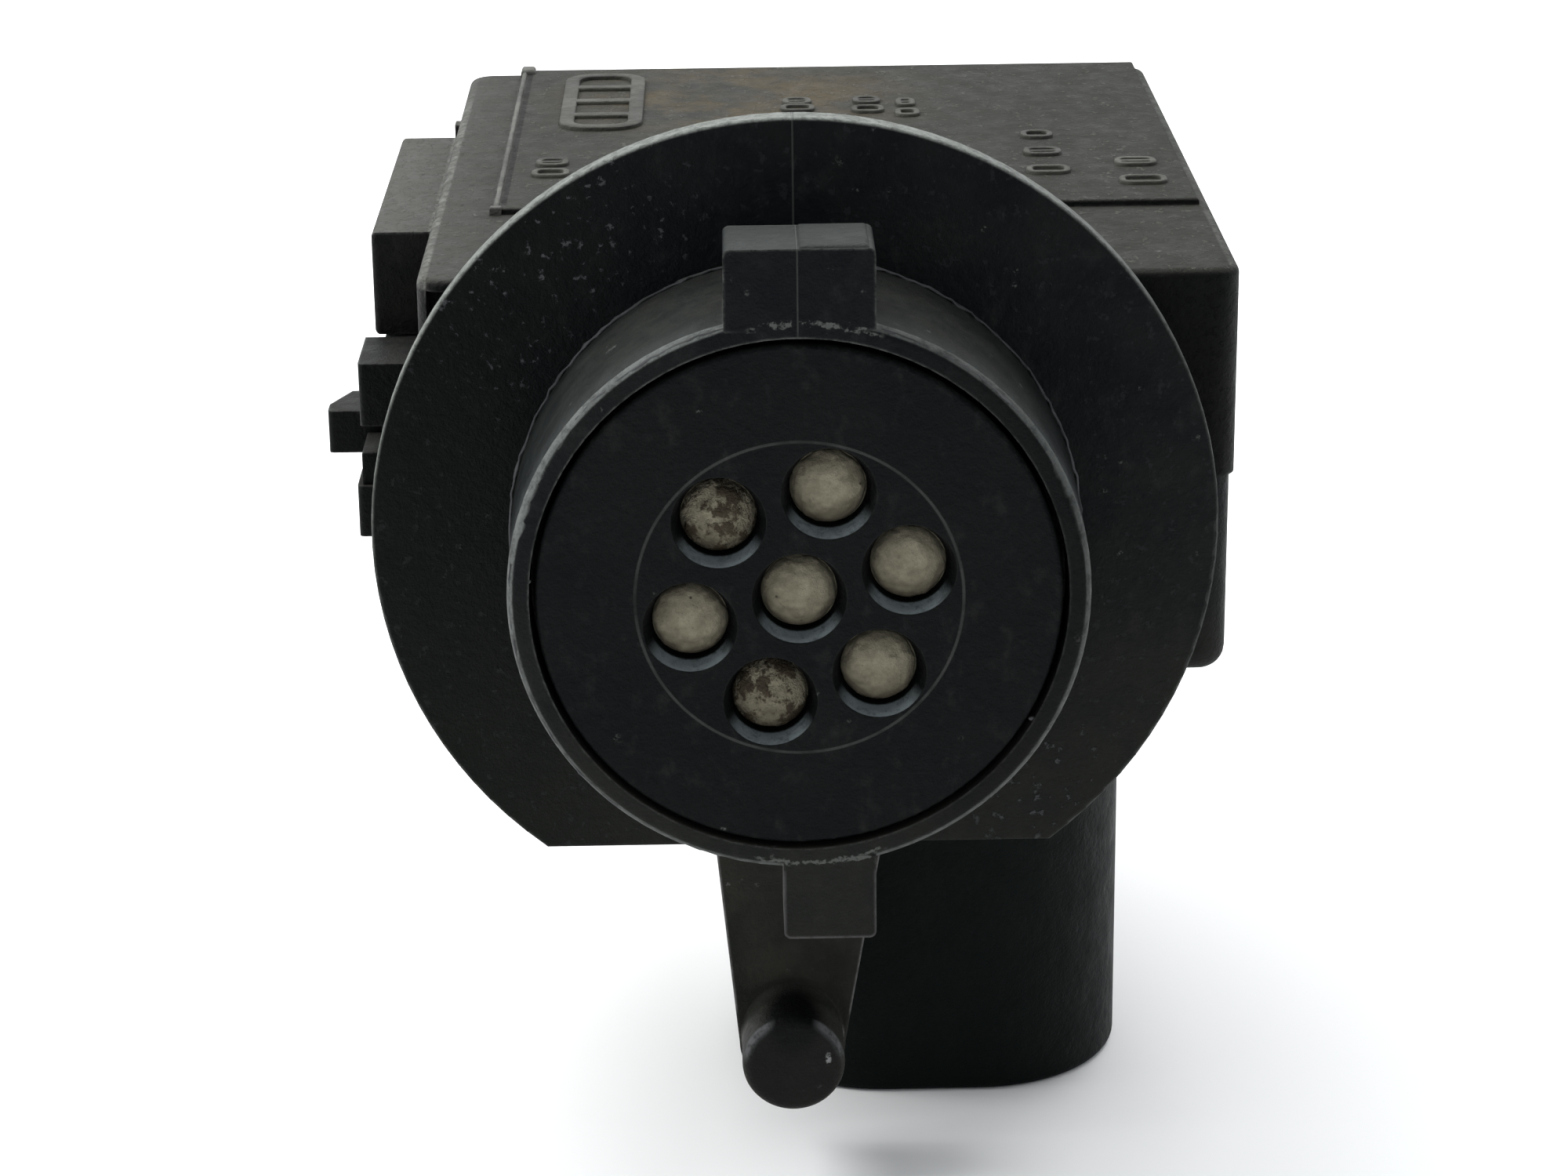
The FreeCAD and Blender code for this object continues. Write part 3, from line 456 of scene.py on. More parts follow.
def spigot_marks(g, colour, radius):
    """Adds the rubbed side, the pale mouth with its painted highlight and shade, the skin of flash
    and the worn lugs.
    """
    ahead_of_flange = g.ramp(g.y, -0.25, -0.05, 1.0, 0.0)
    side = g.times(g.ramp(g.y, -9.9, -9.6), ahead_of_flange,
                   g.ramp(radius, SPIGOT_RADIUS - 0.5, SPIGOT_RADIUS - 0.4),
                   g.ramp(radius, SPIGOT_RADIUS + 0.1, SPIGOT_RADIUS + 0.2, 1, 0))
    rubbed = g.ramp(g.noise(1.3, 6, 0.75, stretch=(1, 0.4, 1), shift=71), 0.3, 0.7, 0.25, 1.0)
    colour = g.tint(colour, SIDE_GREY, 0.3, side, rubbed)
    toward_mouth = g.ramp(g.y, -9.6, -7.0, 1.0, 0.0)
    colour = g.tint(colour, SIDE_PALE, 0.4, side, toward_mouth, rubbed)

    # The mouth's pale ring is worn and partly a painted highlight, brightest at the upper left.
    mouth = g.times(g.band(g.lean_y, -0.5, 0.34, 0.1), g.ramp(g.y, -9.62, -9.5, 1.0, 0.0),
                    g.ramp(radius, SPIGOT_RADIUS - 0.03, SPIGOT_RADIUS + 0.05, 1.0, 0.0))
    torn = g.ramp(g.noise(0.8, 6, 0.75, shift=75), 0.3, 0.6, 0.3, 1.0)
    upper_left = g.ramp(g.math("SUBTRACT", g.z, g.x), 4, 20, 0.55, 1.0)
    colour = g.tint(colour, MOUTH_WEAR_AND_HIGHLIGHT, 0.9, mouth, torn, upper_left)
    # Painted shade: inside the mouth at the right, the wall is darkened nearly to black.
    colour = g.tint(colour, INNER_SHADE, 0.6, g.ramp(radius, 14.15, 14.3, 1.0, 0.0),
                    g.ramp(g.x, 3, 10), g.ramp(g.y, -9.95, -9.85, 1.0, 0.0))

    wander = g.ramp(g.noise(0.7, 4, 0.7, shift=33), 0.3, 0.7, -0.16, 0.16)
    skin = g.times(g.band(g.math("ADD", radius, wander), 14.12, 0.07, 0.09),
                   g.band(g.x, 0.9, 2.9, 0.6), g.ramp(g.y, -10.18, -10.1, 1.0, 0.0),
                   g.ramp(g.noise(0.6, 4, 0.7, shift=43), 0.44, 0.54))
    colour = g.tint(colour, SKIN_GREY, 0.75, skin)

    low_lug = g.ramp(g.z, -14.7, -14.5, 1.0, 0.0)
    colour = g.tint(colour, shade_of_grey(0.11, 0.01), 0.8, g.edges(0.3, 0.01, 0.1), low_lug,
                    ahead_of_flange, torn)
    return g.tint(colour, LUG_GREY, 0.4, g.ramp(radius, 16.8, 17.2),
                  g.ramp(g.y, -0.6, -0.4, 1.0, 0.0), g.ramp(g.up, 0.3, 0.7))


# %% [markdown]
# The shroud below is painted nearly black, a painted shade for its place under the box, and is
# the blackest part, and the sides of the bracket get painted shade nearly as black. A hair line
# runs down the flange and the top lug where the two halves of the tool met.

# %% Housing finish
SHROUD_SHADE = (0.0008, 0.0024, 0.0024, 1)
BRACKET_SIDE_SHADE = (0.0010, 0.0014, 0.0010, 1)


def housing_marks(g, colour, roughness, heights):
    """Adds what is only on the housing, part by part."""
    radius = g.vector("LENGTH", g.vector("MULTIPLY", g.place, (1, 0, 1)))
    colour, chips = flange_marks(g, colour, radius)
    colour = spigot_marks(g, colour, radius)

    # Painted shade: the shroud under the box and the bracket's sides that do not face up are
    # darkened nearly to black.
    behind_flange = g.ramp(g.y, 3, 3.4)
    below_box = g.ramp(g.z, -10.2, -9.9, 1.0, 0.0)
    colour = g.tint(colour, SHROUD_SHADE, 0.93, below_box, behind_flange)
    beside_box = g.ramp(g.x, -19.7, -19.55, 1.0, 0.0)
    not_on_top = g.ramp(g.up, 0.2, 0.6, 1.0, 0.0)
    colour = g.tint(colour, BRACKET_SIDE_SHADE, 0.75, beside_box, behind_flange, not_on_top)

    parting = g.times(g.band(g.x, 0.05, 0.02, 0.05), g.ramp(g.z, 13, 14),
                      g.ramp(g.y, 1.4, 1.6, 1.0, 0.0))
    colour = g.tint(colour, PALE_WEAR_AND_HIGHLIGHT, 0.22, parting)
    return colour, roughness, heights + [(parting, 0.05), (chips, 0.10)]


housing_plastic = moulded_plastic(
    "housing_plastic", (0.0022, 0.0032, 0.0045, 1), (0.0062, 0.0072, 0.0072, 1), edge_wear_and_highlight=0.75,
    dust=0.5, speck_share=0.18, edge_width=0.26, marks=housing_marks)
paint(housing_plastic, "housing")
print("housing painted")

# %% [markdown]
# The lid has lain under dust the longest. Its top is a dull olive grey, paler towards the left
# and darker towards the right, with a brownish stain near the back. Its left edge is rubbed
# pale, its front is painted nearly black as shade, and a thin dark line is painted beside the
# welt as its shadow. What stands up from it is rubbed paler than the flat round it. The thin
# welt along its left side is paler still, partly rubbed and partly a painted highlight of its
# lit ridge, so those pieces get paler plastics of their own.

# %% Lid marks
LID_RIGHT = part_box("lid")[1].x / MM
LEFT_DUST = (0.112, 0.112, 0.101, 1)
RIGHT_DUST = (0.0150, 0.0155, 0.0120, 1)
LID_FRONT_SHADE = (0.0010, 0.0015, 0.0012, 1)
PIMPLE_GREY = (0.105, 0.105, 0.090, 1)
HOLLOW_GREY = (0.0130, 0.0135, 0.0105, 1)
STAIN_BROWN = (0.070, 0.052, 0.026, 1)
LEFT_EDGE_WEAR = (0.150, 0.152, 0.138, 1)
RIGHT_EDGE_WEAR = (0.120, 0.122, 0.110, 1)


def lid_marks(g, colour, roughness, heights):
    """Adds the stain, the shades of dust, the pimples of a worn tool, the rubbed edges and painted
    shade.
    """
    on_top = g.ramp(g.up, 0.5, 0.9)
    stain_place = g.ramp(g.vector("DISTANCE", g.place, (-2, 45, 13)), 3, 15, 1.0, 0.0)
    stain_cloud = g.ramp(g.noise(4, 5, 0.65, shift=5), 0.35, 0.62)
    colour = g.tint(colour, STAIN_BROWN, 0.7, stain_place, stain_cloud, on_top)
    colour = g.tint(colour, LEFT_DUST, 0.6, g.ramp(g.x, -26, -14, 1.0, 0.0), on_top)
    colour = g.tint(colour, RIGHT_DUST, 0.65, g.ramp(g.x, -2, 18), on_top)
    # Painted shade: faces that look to the front are darkened nearly to black.
    colour = g.tint(colour, LID_FRONT_SHADE, 0.75, g.ramp(g.lean_y, -0.9, -0.6, 1.0, 0.0),
                    g.ramp(g.x, -19, -18))

    pimples = g.ramp(g.noise(0.4, 4, 0.7, stretch=(1, 0.6, 1), shift=81), 0.53, 0.68)
    colour = g.tint(colour, PIMPLE_GREY, 0.45, pimples, on_top)
    hollows = g.ramp(g.noise(0.5, 4, 0.7, shift=85), 0.54, 0.68)
    colour = g.tint(colour, HOLLOW_GREY, 0.4, hollows, on_top)

    ragged = g.ramp(g.noise(0.7, 5, 0.75, shift=91), 0.4, 0.6, 0.3, 1.0)
    left_edge = g.times(g.band(g.x, -19.3, 0.3, 0.15), g.ramp(g.z, 12.2, 12.45),
                        g.ramp(g.y, 44, 50, 1.0, 0.3), ragged)
    colour = g.tint(colour, LEFT_EDGE_WEAR, 0.8, left_edge)
    right_edge = g.band(g.x, LID_RIGHT - 0.3, 0.2, 0.15)
    colour = g.tint(colour, RIGHT_EDGE_WEAR, 0.4, right_edge, on_top, ragged)
    # Painted shadow: a thin dark line on the top beside the welt.
    welt_shadow_line = g.band(g.x, -15.62, 0.12, 0.08)
    behind_panel_front = g.ramp(g.y, 18.0, 18.4)
    colour = g.tint(colour, shade_of_grey(0.006), 0.75, welt_shadow_line, on_top, behind_panel_front)
    return colour, roughness, heights + [(pimples, 0.06), (left_edge, 0.05)]


lid_plastic = moulded_plastic(
    "lid_plastic", (0.0042, 0.0050, 0.0045, 1), (0.0105, 0.0110, 0.0092, 1), edge_wear_and_highlight=0.75, dust=0.8,
    speck_share=0.3, rough=0.55, edge_width=0.3, marks=lid_marks)
paint(lid_plastic, "lid")
raised_plastic = moulded_plastic(
    "raised_plastic", (0.040, 0.040, 0.034, 1), (0.074, 0.073, 0.062, 1), edge_wear_and_highlight=0.6, dust=0.25,
    speck_share=0.4, rough=0.55, edge_width=0.1)
# The welt's paler plastic is partly rubbed and partly a painted highlight of its lit ridge.
welt_worn_and_lit_plastic = moulded_plastic(
    "welt_worn_and_lit_plastic", (0.070, 0.071, 0.064, 1), (0.130, 0.130, 0.117, 1), edge_wear_and_highlight=0.5, dust=0.2,
    speck_share=0.3, rough=0.6, edge_width=0.08)

# %% [markdown]
# The arm is olive grey from dust in its grain. Its edges are rubbed, and so are the two
# shoulders of the knob that scrape over the panel. The knob's top and the strip just above it
# are painted black, a painted shade where the head above keeps the light off them.

# %% Arm marks
KNOB_X, KNOB_Z = -0.45, -28.75
KNOB_RADIUS = 2.75
ARM_OLIVE = (0.0150, 0.0160, 0.0125, 1)
KNOB_TOP_SHADE = (0.0004, 0.0007, 0.0007, 1)


def arm_marks(g, colour, roughness, heights):
    """Adds painted shade on the knob's top, its plain foot, the strip's pale edges and the rubbed
    shoulders.
    """
    from_axis = g.vector("DISTANCE", g.vector("MULTIPLY", g.place, (1, 0, 1)),
                         (KNOB_X, 0, KNOB_Z))
    upper_half = g.ramp(g.z, KNOB_Z, KNOB_Z + 1.0)
    colour = g.tint(colour, ARM_OLIVE, 0.9, g.band(from_axis, 3.0, 0.4, 0.1),
                    g.ramp(g.y, -1.2, -0.7), upper_half)

    # Painted shade: the knob's top and the strip just above it are darkened nearly to black.
    crown = (KNOB_X, -2.8, KNOB_Z + KNOB_RADIUS - 0.15)
    aside_of_crown = g.vector("MULTIPLY", g.vector("SUBTRACT", g.place, crown), (1.0, 0.58, 0.8))
    black = g.ramp(g.vector("LENGTH", aside_of_crown), 1.0, 2.15, 1.0, 0.0)
    colour = g.tint(colour, KNOB_TOP_SHADE, 0.97, black)

    torn = g.ramp(g.noise(0.7, 5, 0.75, shift=77), 0.3, 0.6, 0.35, 1.0)
    colour = g.tint(colour, shade_of_grey(0.10, 0.02), 0.85, g.band(g.lean_y, -0.55, 0.3, 0.12),
                    g.ramp(g.y, -0.15, -0.05), g.ramp(g.y, 0.35, 0.5, 1.0, 0.0),
                    g.ramp(from_axis, 3.2, 3.5), torn)

    to_fleck = g.vector("SUBTRACT", g.place, (KNOB_X + 1.85, -3.8, KNOB_Z + 0.45))
    near_fleck = g.vector("LENGTH", g.vector("MULTIPLY", to_fleck, (1.7, 1, 0.7)))
    fleck = g.times(g.ramp(near_fleck, 0.1, 0.36, 1.0, 0.0),
                    g.ramp(g.noise(0.3, 3, 0.7, shift=2), 0.42, 0.52))
    colour = g.blend(fleck, colour, shade_of_grey(0.22))

    aside = g.math("ABSOLUTE", g.math("SUBTRACT", g.x, KNOB_X))
    scraped = g.ramp(g.noise(0.7, 4, 0.7, shift=15), 0.3, 0.55)
    colour = g.tint(colour, shade_of_grey(0.10, -0.03), 0.8, g.ramp(aside, 0.9, 1.6), upper_half,
                    g.ramp(g.y, -3.4, -3.15, 1.0, 0.0), g.ramp(g.y, -3.79, -3.7), scraped)
    colour = g.tint(colour, shade_of_grey(0.0055, -0.04), 0.6,
                    g.ramp(g.y, -3.72, -3.6, 1.0, 0.0), g.ramp(fleck, 0.1, 0.3, 1.0, 0.0))
    return colour, roughness, heights


arm_plastic = moulded_plastic(
    "arm_plastic", (0.0100, 0.0110, 0.0085, 1), (0.0220, 0.0225, 0.0175, 1), edge_wear_and_highlight=0.9, dust=0.2,
    speck_share=0.2, edge_width=0.2, marks=arm_marks)

# %% [markdown]
# The vented cap is smoother and darker than the rest. A faint ring shows where the tool's
# ejector sleeve pressed on it. Deep in its vents the walls are painted black as shade, and the
# lower walls near their mouths are painted pale as a highlight.


# %% Cap marks
VENTS_OUTER_RADIUS = 8.2
VENT_SHADE = (0.0012, 0.0015, 0.0018, 1)
VENT_WALL_HIGHLIGHT = (0.160, 0.187, 0.194, 1)


def cap_marks(g, colour, roughness, heights):
    """Adds the faint ring, painted shade deep in the vents and a painted highlight near their
    mouths.
    """
    radius = g.vector("LENGTH", g.vector("MULTIPLY", g.place, (1, 0, 1)))
    broken = g.ramp(g.noise(3, 3, 0.6, shift=23), 0.3, 0.6, 0.25, 1.0)
    ring = g.times(g.band(radius, 8.15, 0.04, 0.07), broken)
    colour = g.tint(colour, PALE_WEAR_AND_HIGHLIGHT, 0.22, ring)
    among_vents = g.ramp(radius, VENTS_OUTER_RADIUS, VENTS_OUTER_RADIUS + 0.1, 1.0, 0.0)
    in_vent = g.times(g.ramp(g.y, -10.06, -10.0), among_vents)
    # Painted shade: deep in the vents the walls are darkened nearly to black.
    colour = g.blend(g.times(in_vent, g.ramp(g.y, -9.5, -9.1)), colour, VENT_SHADE)
    # Painted highlight: the up-facing lower walls near the vents' mouths are painted pale and
    # bluish.
    patchy = g.ramp(g.noise(0.5, 4, 0.7, shift=29), 0.25, 0.55, 0.45, 1.0)
    colour = g.tint(colour, VENT_WALL_HIGHLIGHT, 0.92, in_vent, g.ramp(g.y, -9.2, -9.0, 1.0, 0.0),
                    g.ramp(g.up, 0.35, 0.8), patchy)
    return colour, roughness, heights + [(ring, 0.03)]


cap_plastic = moulded_plastic(
    "cap_plastic", (0.0018, 0.0024, 0.0028, 1), (0.0032, 0.0038, 0.0040, 1), edge_wear_and_highlight=0.1, dust=0.1,
    speck_share=0.05, edge_width=0.12, marks=cap_marks)
paint(cap_plastic, "vent_cap")
print("lid, arm and cap painted")

# %% [markdown]
# New pieces are modelled the way a person does it: start from a primitive, go into edit mode,
# choose faces or edges by where they are, and extrude, inset or bevel them. These helpers do
# the choosing and the bookkeeping. At the end each piece's place is put into its mesh.


# %% Helpers for modelling
def mm(*values):
    """Millimetres as a vector in metres."""
    return Vector(values) * MM


def rest():
    """Leaves edit mode with nothing selected."""
    if bpy.context.mode != "OBJECT":
        bpy.ops.object.mode_set(mode="OBJECT")
    bpy.ops.object.select_all(action="DESELECT")


def named(name):
    """Names the primitive that was just added and clears its whole-mesh selection."""
    piece = bpy.context.object
    piece.name = name
    piece.data.name = name
    settle(piece)
    return piece


def select_only(piece):
    """Leaves edit mode and makes a piece the only one selected, and the active one."""
    rest()
    piece.select_set(True)
    bpy.context.view_layer.objects.active = piece


def settle(piece):
    """Puts a piece's place, turn and size into its mesh."""
    select_only(piece)
    bpy.ops.object.transform_apply(location=True, rotation=True, scale=True)


def edit(piece, kind="FACE"):
    """Goes into edit mode on one piece, with nothing selected."""
    select_only(piece)
    bpy.ops.object.mode_set(mode="EDIT")
    bpy.ops.mesh.select_mode(type=kind)
    bpy.ops.mesh.select_all(action="DESELECT")


def choose(piece, test):
    """Selects what passes a test, of the kind that edit() set. The test gets centre and item."""
    mesh = bmesh.from_edit_mesh(piece.data)
    bpy.ops.mesh.select_all(action="DESELECT")
    kind = bpy.context.tool_settings.mesh_select_mode
    items = mesh.verts if kind[0] else mesh.edges if kind[1] else mesh.faces
    chosen = 0
    for item in items:
        if kind[0]:
            centre = item.co
        else:
            centre = sum((v.co for v in item.verts), Vector()) / len(item.verts)
        if test(centre / MM, item):
            item.select_set(True)
            chosen += 1
    mesh.select_flush_mode()
    bmesh.update_edit_mesh(piece.data)
    return chosen


def join(first, *others):
    """Makes several pieces one."""
    if not others:
        return first
    select_only(first)
    for piece in others:
        piece.select_set(True)
    bpy.ops.object.join()
    return first


def copy_of(piece, shift):
    """A copy with its own mesh, moved by millimetres."""
    select_only(piece)
    bpy.ops.object.duplicate(linked=False)
    bpy.ops.transform.translate(value=Vector(shift) * MM)
    twin = bpy.context.object
    settle(twin)
    return twin


def smooth(piece, angle):
    """Smooths all edges but those sharper than an angle in degrees."""
    select_only(piece)
    bpy.ops.object.shade_smooth_by_angle(angle=math.radians(angle))


def clean(piece, angle):
    """Merges doubles, turns all faces outwards and smooths all but the sharp edges."""
    edit(piece, "VERT")
    bpy.ops.mesh.select_all(action="SELECT")
    bpy.ops.mesh.remove_doubles(threshold=0.002 * MM)
    bpy.ops.mesh.normals_make_consistent(inside=False)
    smooth(piece, angle)


def apply(piece, kind, **values):
    """Adds a modifier, sets it and applies it."""
    select_only(piece)
    modifier = piece.modifiers.new(kind.lower(), kind)
    for name, value in values.items():
        setattr(modifier, name, value)
    bpy.ops.object.modifier_apply(modifier=modifier.name)


def hand_over(piece, material, body):
    """Paints a finished piece and lets it ride on a body of the frame."""
    paint(material, piece)
    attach(piece, body)
    print(piece.name, "has", len(piece.data.polygons), "faces")


# %% [markdown]
# Behind the vents lies a felted white membrane. Pressed on the cap by its foam ring, it
# bulges into each vent as a small dome. One dome is made from a ball: cut in half, flattened
# and copied to the seven vents, then everything is roughened a little, because felt is never
# smooth. Two of the domes are soaked brown and crumbly, which their finish shows.

# %% Membrane
VENT_RING_RADIUS = 5.63
VENT_FIRST_ANGLE = math.radians(14.6)
DOME_RADIUS = 1.87
DOME_FLATNESS = 0.62
membrane_low, membrane_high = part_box("vent_membrane")
membrane_front = membrane_low.y / MM
dome_back = mm(0, membrane_front + 0.1, 0)
vent_places = [(0.0, 0.0)]
for index in range(6):
    angle = VENT_FIRST_ANGLE + index * math.pi / 3
    vent_places.append((VENT_RING_RADIUS * math.cos(angle), VENT_RING_RADIUS * math.sin(angle)))

rest()
bpy.ops.mesh.primitive_ico_sphere_add(subdivisions=5, radius=DOME_RADIUS * MM,
                                      location=dome_back)
dome = named("membrane_dome")
edit(dome, "EDGE")
bpy.ops.mesh.select_all(action="SELECT")
bpy.ops.mesh.bisect(plane_co=dome_back, plane_no=(0, 1, 0), clear_outer=True)
choose(dome, lambda centre, item: len(item.link_faces) == 1)
bpy.ops.mesh.edge_face_add()
bpy.ops.mesh.select_all(action="SELECT")
bpy.ops.transform.resize(value=(1, DOME_FLATNESS, 1), center_override=dome_back)
domes = [copy_of(dome, (x, 0, z)) for x, z in vent_places[1:]]

thickness = (membrane_high.y - membrane_low.y) / MM
rest()
bpy.ops.mesh.primitive_cylinder_add(
    vertices=96, radius=(membrane_high.x - membrane_low.x) / 2, depth=thickness * MM,
    rotation=(math.pi / 2, 0, 0), location=mm(0, membrane_front + thickness / 2, 0))
membrane = named("membrane_felt")
edit(membrane, "EDGE")
choose(membrane, lambda centre, item: centre.xz.length > 9)
bpy.ops.mesh.bevel(offset=0.08 * MM, segments=2)
membrane = join(membrane, dome, *domes)
felt_texture = bpy.data.textures.new("felt", "CLOUDS")
felt_texture.noise_scale = 0.55 * MM
felt_texture.noise_depth = 3
apply(membrane, "DISPLACE", texture=felt_texture, strength=0.22 * MM, mid_level=0.5,
      texture_coords="LOCAL")
smooth(membrane, 50)

# %% Membrane finish
SOAKED_VENTS = (3, 5)
FELT_PALE = (0.27, 0.25, 0.18, 1)
FELT_DULL = (0.17, 0.155, 0.11, 1)
FELT_SHADOW = (0.11, 0.10, 0.07, 1)
FELT_UNDERSIDE_SHADE = (0.055, 0.045, 0.030, 1)
SOAKED_BROWN = (0.035, 0.024, 0.014, 1)
BLOTCH_BROWN = (0.060, 0.050, 0.036, 1)
DIRT_BROWN = (0.03, 0.026, 0.02, 1)

felt = Graph("membrane_felt")
fibre = felt.noise(0.16, 4, 0.7)
stain = felt.noise(0.9, 5, 0.7, shift=13)
crumbs = felt.noise(1.15, 5, 0.68, shift=17)
near_soaked = []
for index in SOAKED_VENTS:
    x, z = vent_places[index]
    gap = felt.vector("DISTANCE", felt.vector("MULTIPLY", felt.place, (1, 0, 1)), (x, 0, z))
    near_soaked.append(felt.ramp(gap, 2.2, 2.6, 1.0, 0.0))
soaked = felt.most(*near_soaked)
felt_colour = felt.blend(felt.ramp(stain, 0.3, 0.7), FELT_PALE, FELT_DULL)
felt_colour = felt.tint(felt_colour, FELT_SHADOW, 0.5, felt.ramp(fibre, 0.55, 0.75))
# Painted shade: the felt is darkened where it faces down, on the domes' lower sides.
shaded_underside = felt.ramp(felt.up, -0.75, 0.25, 1.0, 0.0)
felt_colour = felt.tint(felt_colour, FELT_UNDERSIDE_SHADE, 0.75, shaded_underside)
felt_colour = felt.tint(felt_colour, SOAKED_BROWN, 0.9, soaked, felt.ramp(crumbs, 0.47, 0.56))
blotch = felt.ramp(felt.noise(0.8, 5, 0.7, shift=37), 0.58, 0.68)
felt_colour = felt.tint(felt_colour, BLOTCH_BROWN, 0.4, blotch)
felt_colour = felt.tint(felt_colour, DIRT_BROWN, 0.8, felt.specks(0.6, 0.1, 0.22))
felt.bumps((fibre, 0.08), (felt.times(crumbs, soaked), 0.9))
membrane_white = felt.finish(felt_colour, felt.ramp(fibre, 0.3, 0.7, 0.8, 0.95),
                             Specular_IOR_Level=0.2)
hand_over(membrane, membrane_white, "root")
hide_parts("vent_membrane")

# %% [markdown]
# The latch arm is one springy strip that grows out of the flange's foot and carries a knob.
# It is extruded from its round tip up to the flange in short steps, which leave rings of
# points just below the flange, where the real arm bends. Its top step is thinner, so it hides
# inside the flange. The knob is a cylinder with a rolled rim and a flared foot that runs into
# the strip.

# %% Latch arm
TIP_RADIUS = 2.88
ROOT_HALF_WIDTH = 4.45
STRIP_STEPS = (0.12, 0.25, 0.4, 0.55, 0.7, 0.8, 0.85, 0.88, 0.91, 0.94, 0.97, 1.0)
arm_low, arm_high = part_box("latch_arm")
arm_front, arm_back = 0.0, arm_high.y / MM
knob_front = arm_low.y / MM
tip_z = KNOB_Z - 0.4
root_z = arm_high.z / MM
flange_foot_z = -17.45
middle_y = (arm_front + arm_back) / 2

rest()
bpy.ops.mesh.primitive_cylinder_add(
    vertices=64, radius=TIP_RADIUS * MM, depth=(arm_back - arm_front) * MM,
    rotation=(math.pi / 2, 0, 0), location=mm(KNOB_X, middle_y, tip_z))
arm = named("latch_arm_strip")
edit(arm)
bpy.ops.mesh.select_all(action="SELECT")
bpy.ops.mesh.bisect(plane_co=mm(0, 0, tip_z), plane_no=(0, 0, 1), clear_outer=True,
                    use_fill=True)


def extrude_arm(height, x, half_width, thickness_share=1.0):
    """Extrudes the strip's top face to a height, where it has this middle and half width."""
    mesh = bmesh.from_edit_mesh(arm.data)
    top = max(v.co.z for v in mesh.verts)
    ends = [v.co.x for v in mesh.verts if v.co.z > top - 0.01 * MM]
    middle = (min(ends) + max(ends)) / 2
    width = (max(ends) - min(ends)) / 2
    choose(arm, lambda centre, item: centre.z > top / MM - 0.01)
    bpy.ops.mesh.extrude_region_move(
        TRANSFORM_OT_translate={"value": (x * MM - middle, 0, height * MM - top)})
    bpy.ops.transform.resize(value=(half_width * MM / width, thickness_share, 1),
                             center_override=mm(x, middle_y, height))


for share in STRIP_STEPS:
    extrude_arm(tip_z + (root_z - tip_z) * share, KNOB_X * (1 - share),
                TIP_RADIUS + (ROOT_HALF_WIDTH - TIP_RADIUS) * share)
extrude_arm(flange_foot_z - 0.01, 0, ROOT_HALF_WIDTH + 0.02)
extrude_arm(flange_foot_z + 0.02, 0, ROOT_HALF_WIDTH - 0.1, 0.85)
extrude_arm(flange_foot_z + 0.45, 0, ROOT_HALF_WIDTH - 0.1)
clean(arm, 30)
edit(arm, "EDGE")
sharp = choose(arm, lambda centre, item: (
    centre.z < flange_foot_z - 0.03 and len(item.link_faces) == 2
    and item.calc_face_angle(0) > math.radians(50)))
bpy.ops.mesh.bevel(offset=0.16 * MM, segments=3, profile=0.5)
print("arm edges rounded:", sharp)

# %% Knob
KNOB_BACK = 0.5
FOOT_TOP = -0.75
FOOT_FLARE = ((-0.42, 0.06), (-0.2, 0.2), (-0.06, 0.42))

rest()
bpy.ops.mesh.primitive_cylinder_add(
    vertices=72, radius=KNOB_RADIUS * MM, depth=(KNOB_BACK - knob_front) * MM,
    rotation=(math.pi / 2, 0, 0), location=mm(KNOB_X, (KNOB_BACK + knob_front) / 2, KNOB_Z))
knob = named("arm_knob")
edit(knob, "EDGE")
choose(knob, lambda centre, item: centre.y < knob_front + 0.01)
bpy.ops.mesh.bevel(offset=0.62 * MM, segments=7, profile=0.5)
for ring_y in (FOOT_TOP, *(y for y, lift in FOOT_FLARE)):
    bpy.ops.mesh.select_all(action="SELECT")
    bpy.ops.mesh.bisect(plane_co=mm(0, ring_y, 0), plane_no=(0, 1, 0))
bpy.ops.mesh.select_mode(type="VERT")
for ring_y, lift in FOOT_FLARE:
    choose(knob, lambda centre, item: abs(centre.y - ring_y) < 0.02 and centre.z > KNOB_Z + 0.3)
    bpy.ops.transform.resize(value=(1, 1, 1 + lift / KNOB_RADIUS),
                             center_override=mm(KNOB_X, ring_y, KNOB_Z + 0.3))
clean(knob, 40)
arm = join(arm, knob)
clean(arm, 34)
paint(arm_plastic, arm)
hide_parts("latch_arm")
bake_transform(arm)
print(arm.name, "has", len(arm.data.polygons), "faces")

# %% [markdown]
# The lid's raised panel ends in a thin welt along its left side, which stands a little higher
# at the back corner. The real part carries raised marks on this panel. Here they are plain
# patterns that say nothing: a framed grille near the left and rows of small rounded frames.
# A frame is a cube with its upright edges rounded. Its top and bottom are inset, the inset
# faces are bridged into a hole, and the rungs are bars laid across it.

# %% Lid welt
PANEL_TOP = 13.25
PANEL_LEFT, PANEL_FRONT, PANEL_BACK = -16.2, 17.4, 54.0


def add_bar(name, x, y, z, round_by):
    """A cube between three (low, high) pairs in mm, its upper edges bevelled."""
    size = [high - low for low, high in (x, y, z)]
    middle = [(high + low) / 2 for low, high in (x, y, z)]
    rest()
    bpy.ops.mesh.primitive_cube_add(size=1, location=mm(*middle), scale=mm(*size))
    bar = named(name)
    edit(bar, "EDGE")
    choose(bar, lambda centre, item: centre.z > middle[2] + 0.01)
    bpy.ops.mesh.bevel(offset=round_by * MM, segments=3)
    clean(bar, 40)
    return bar


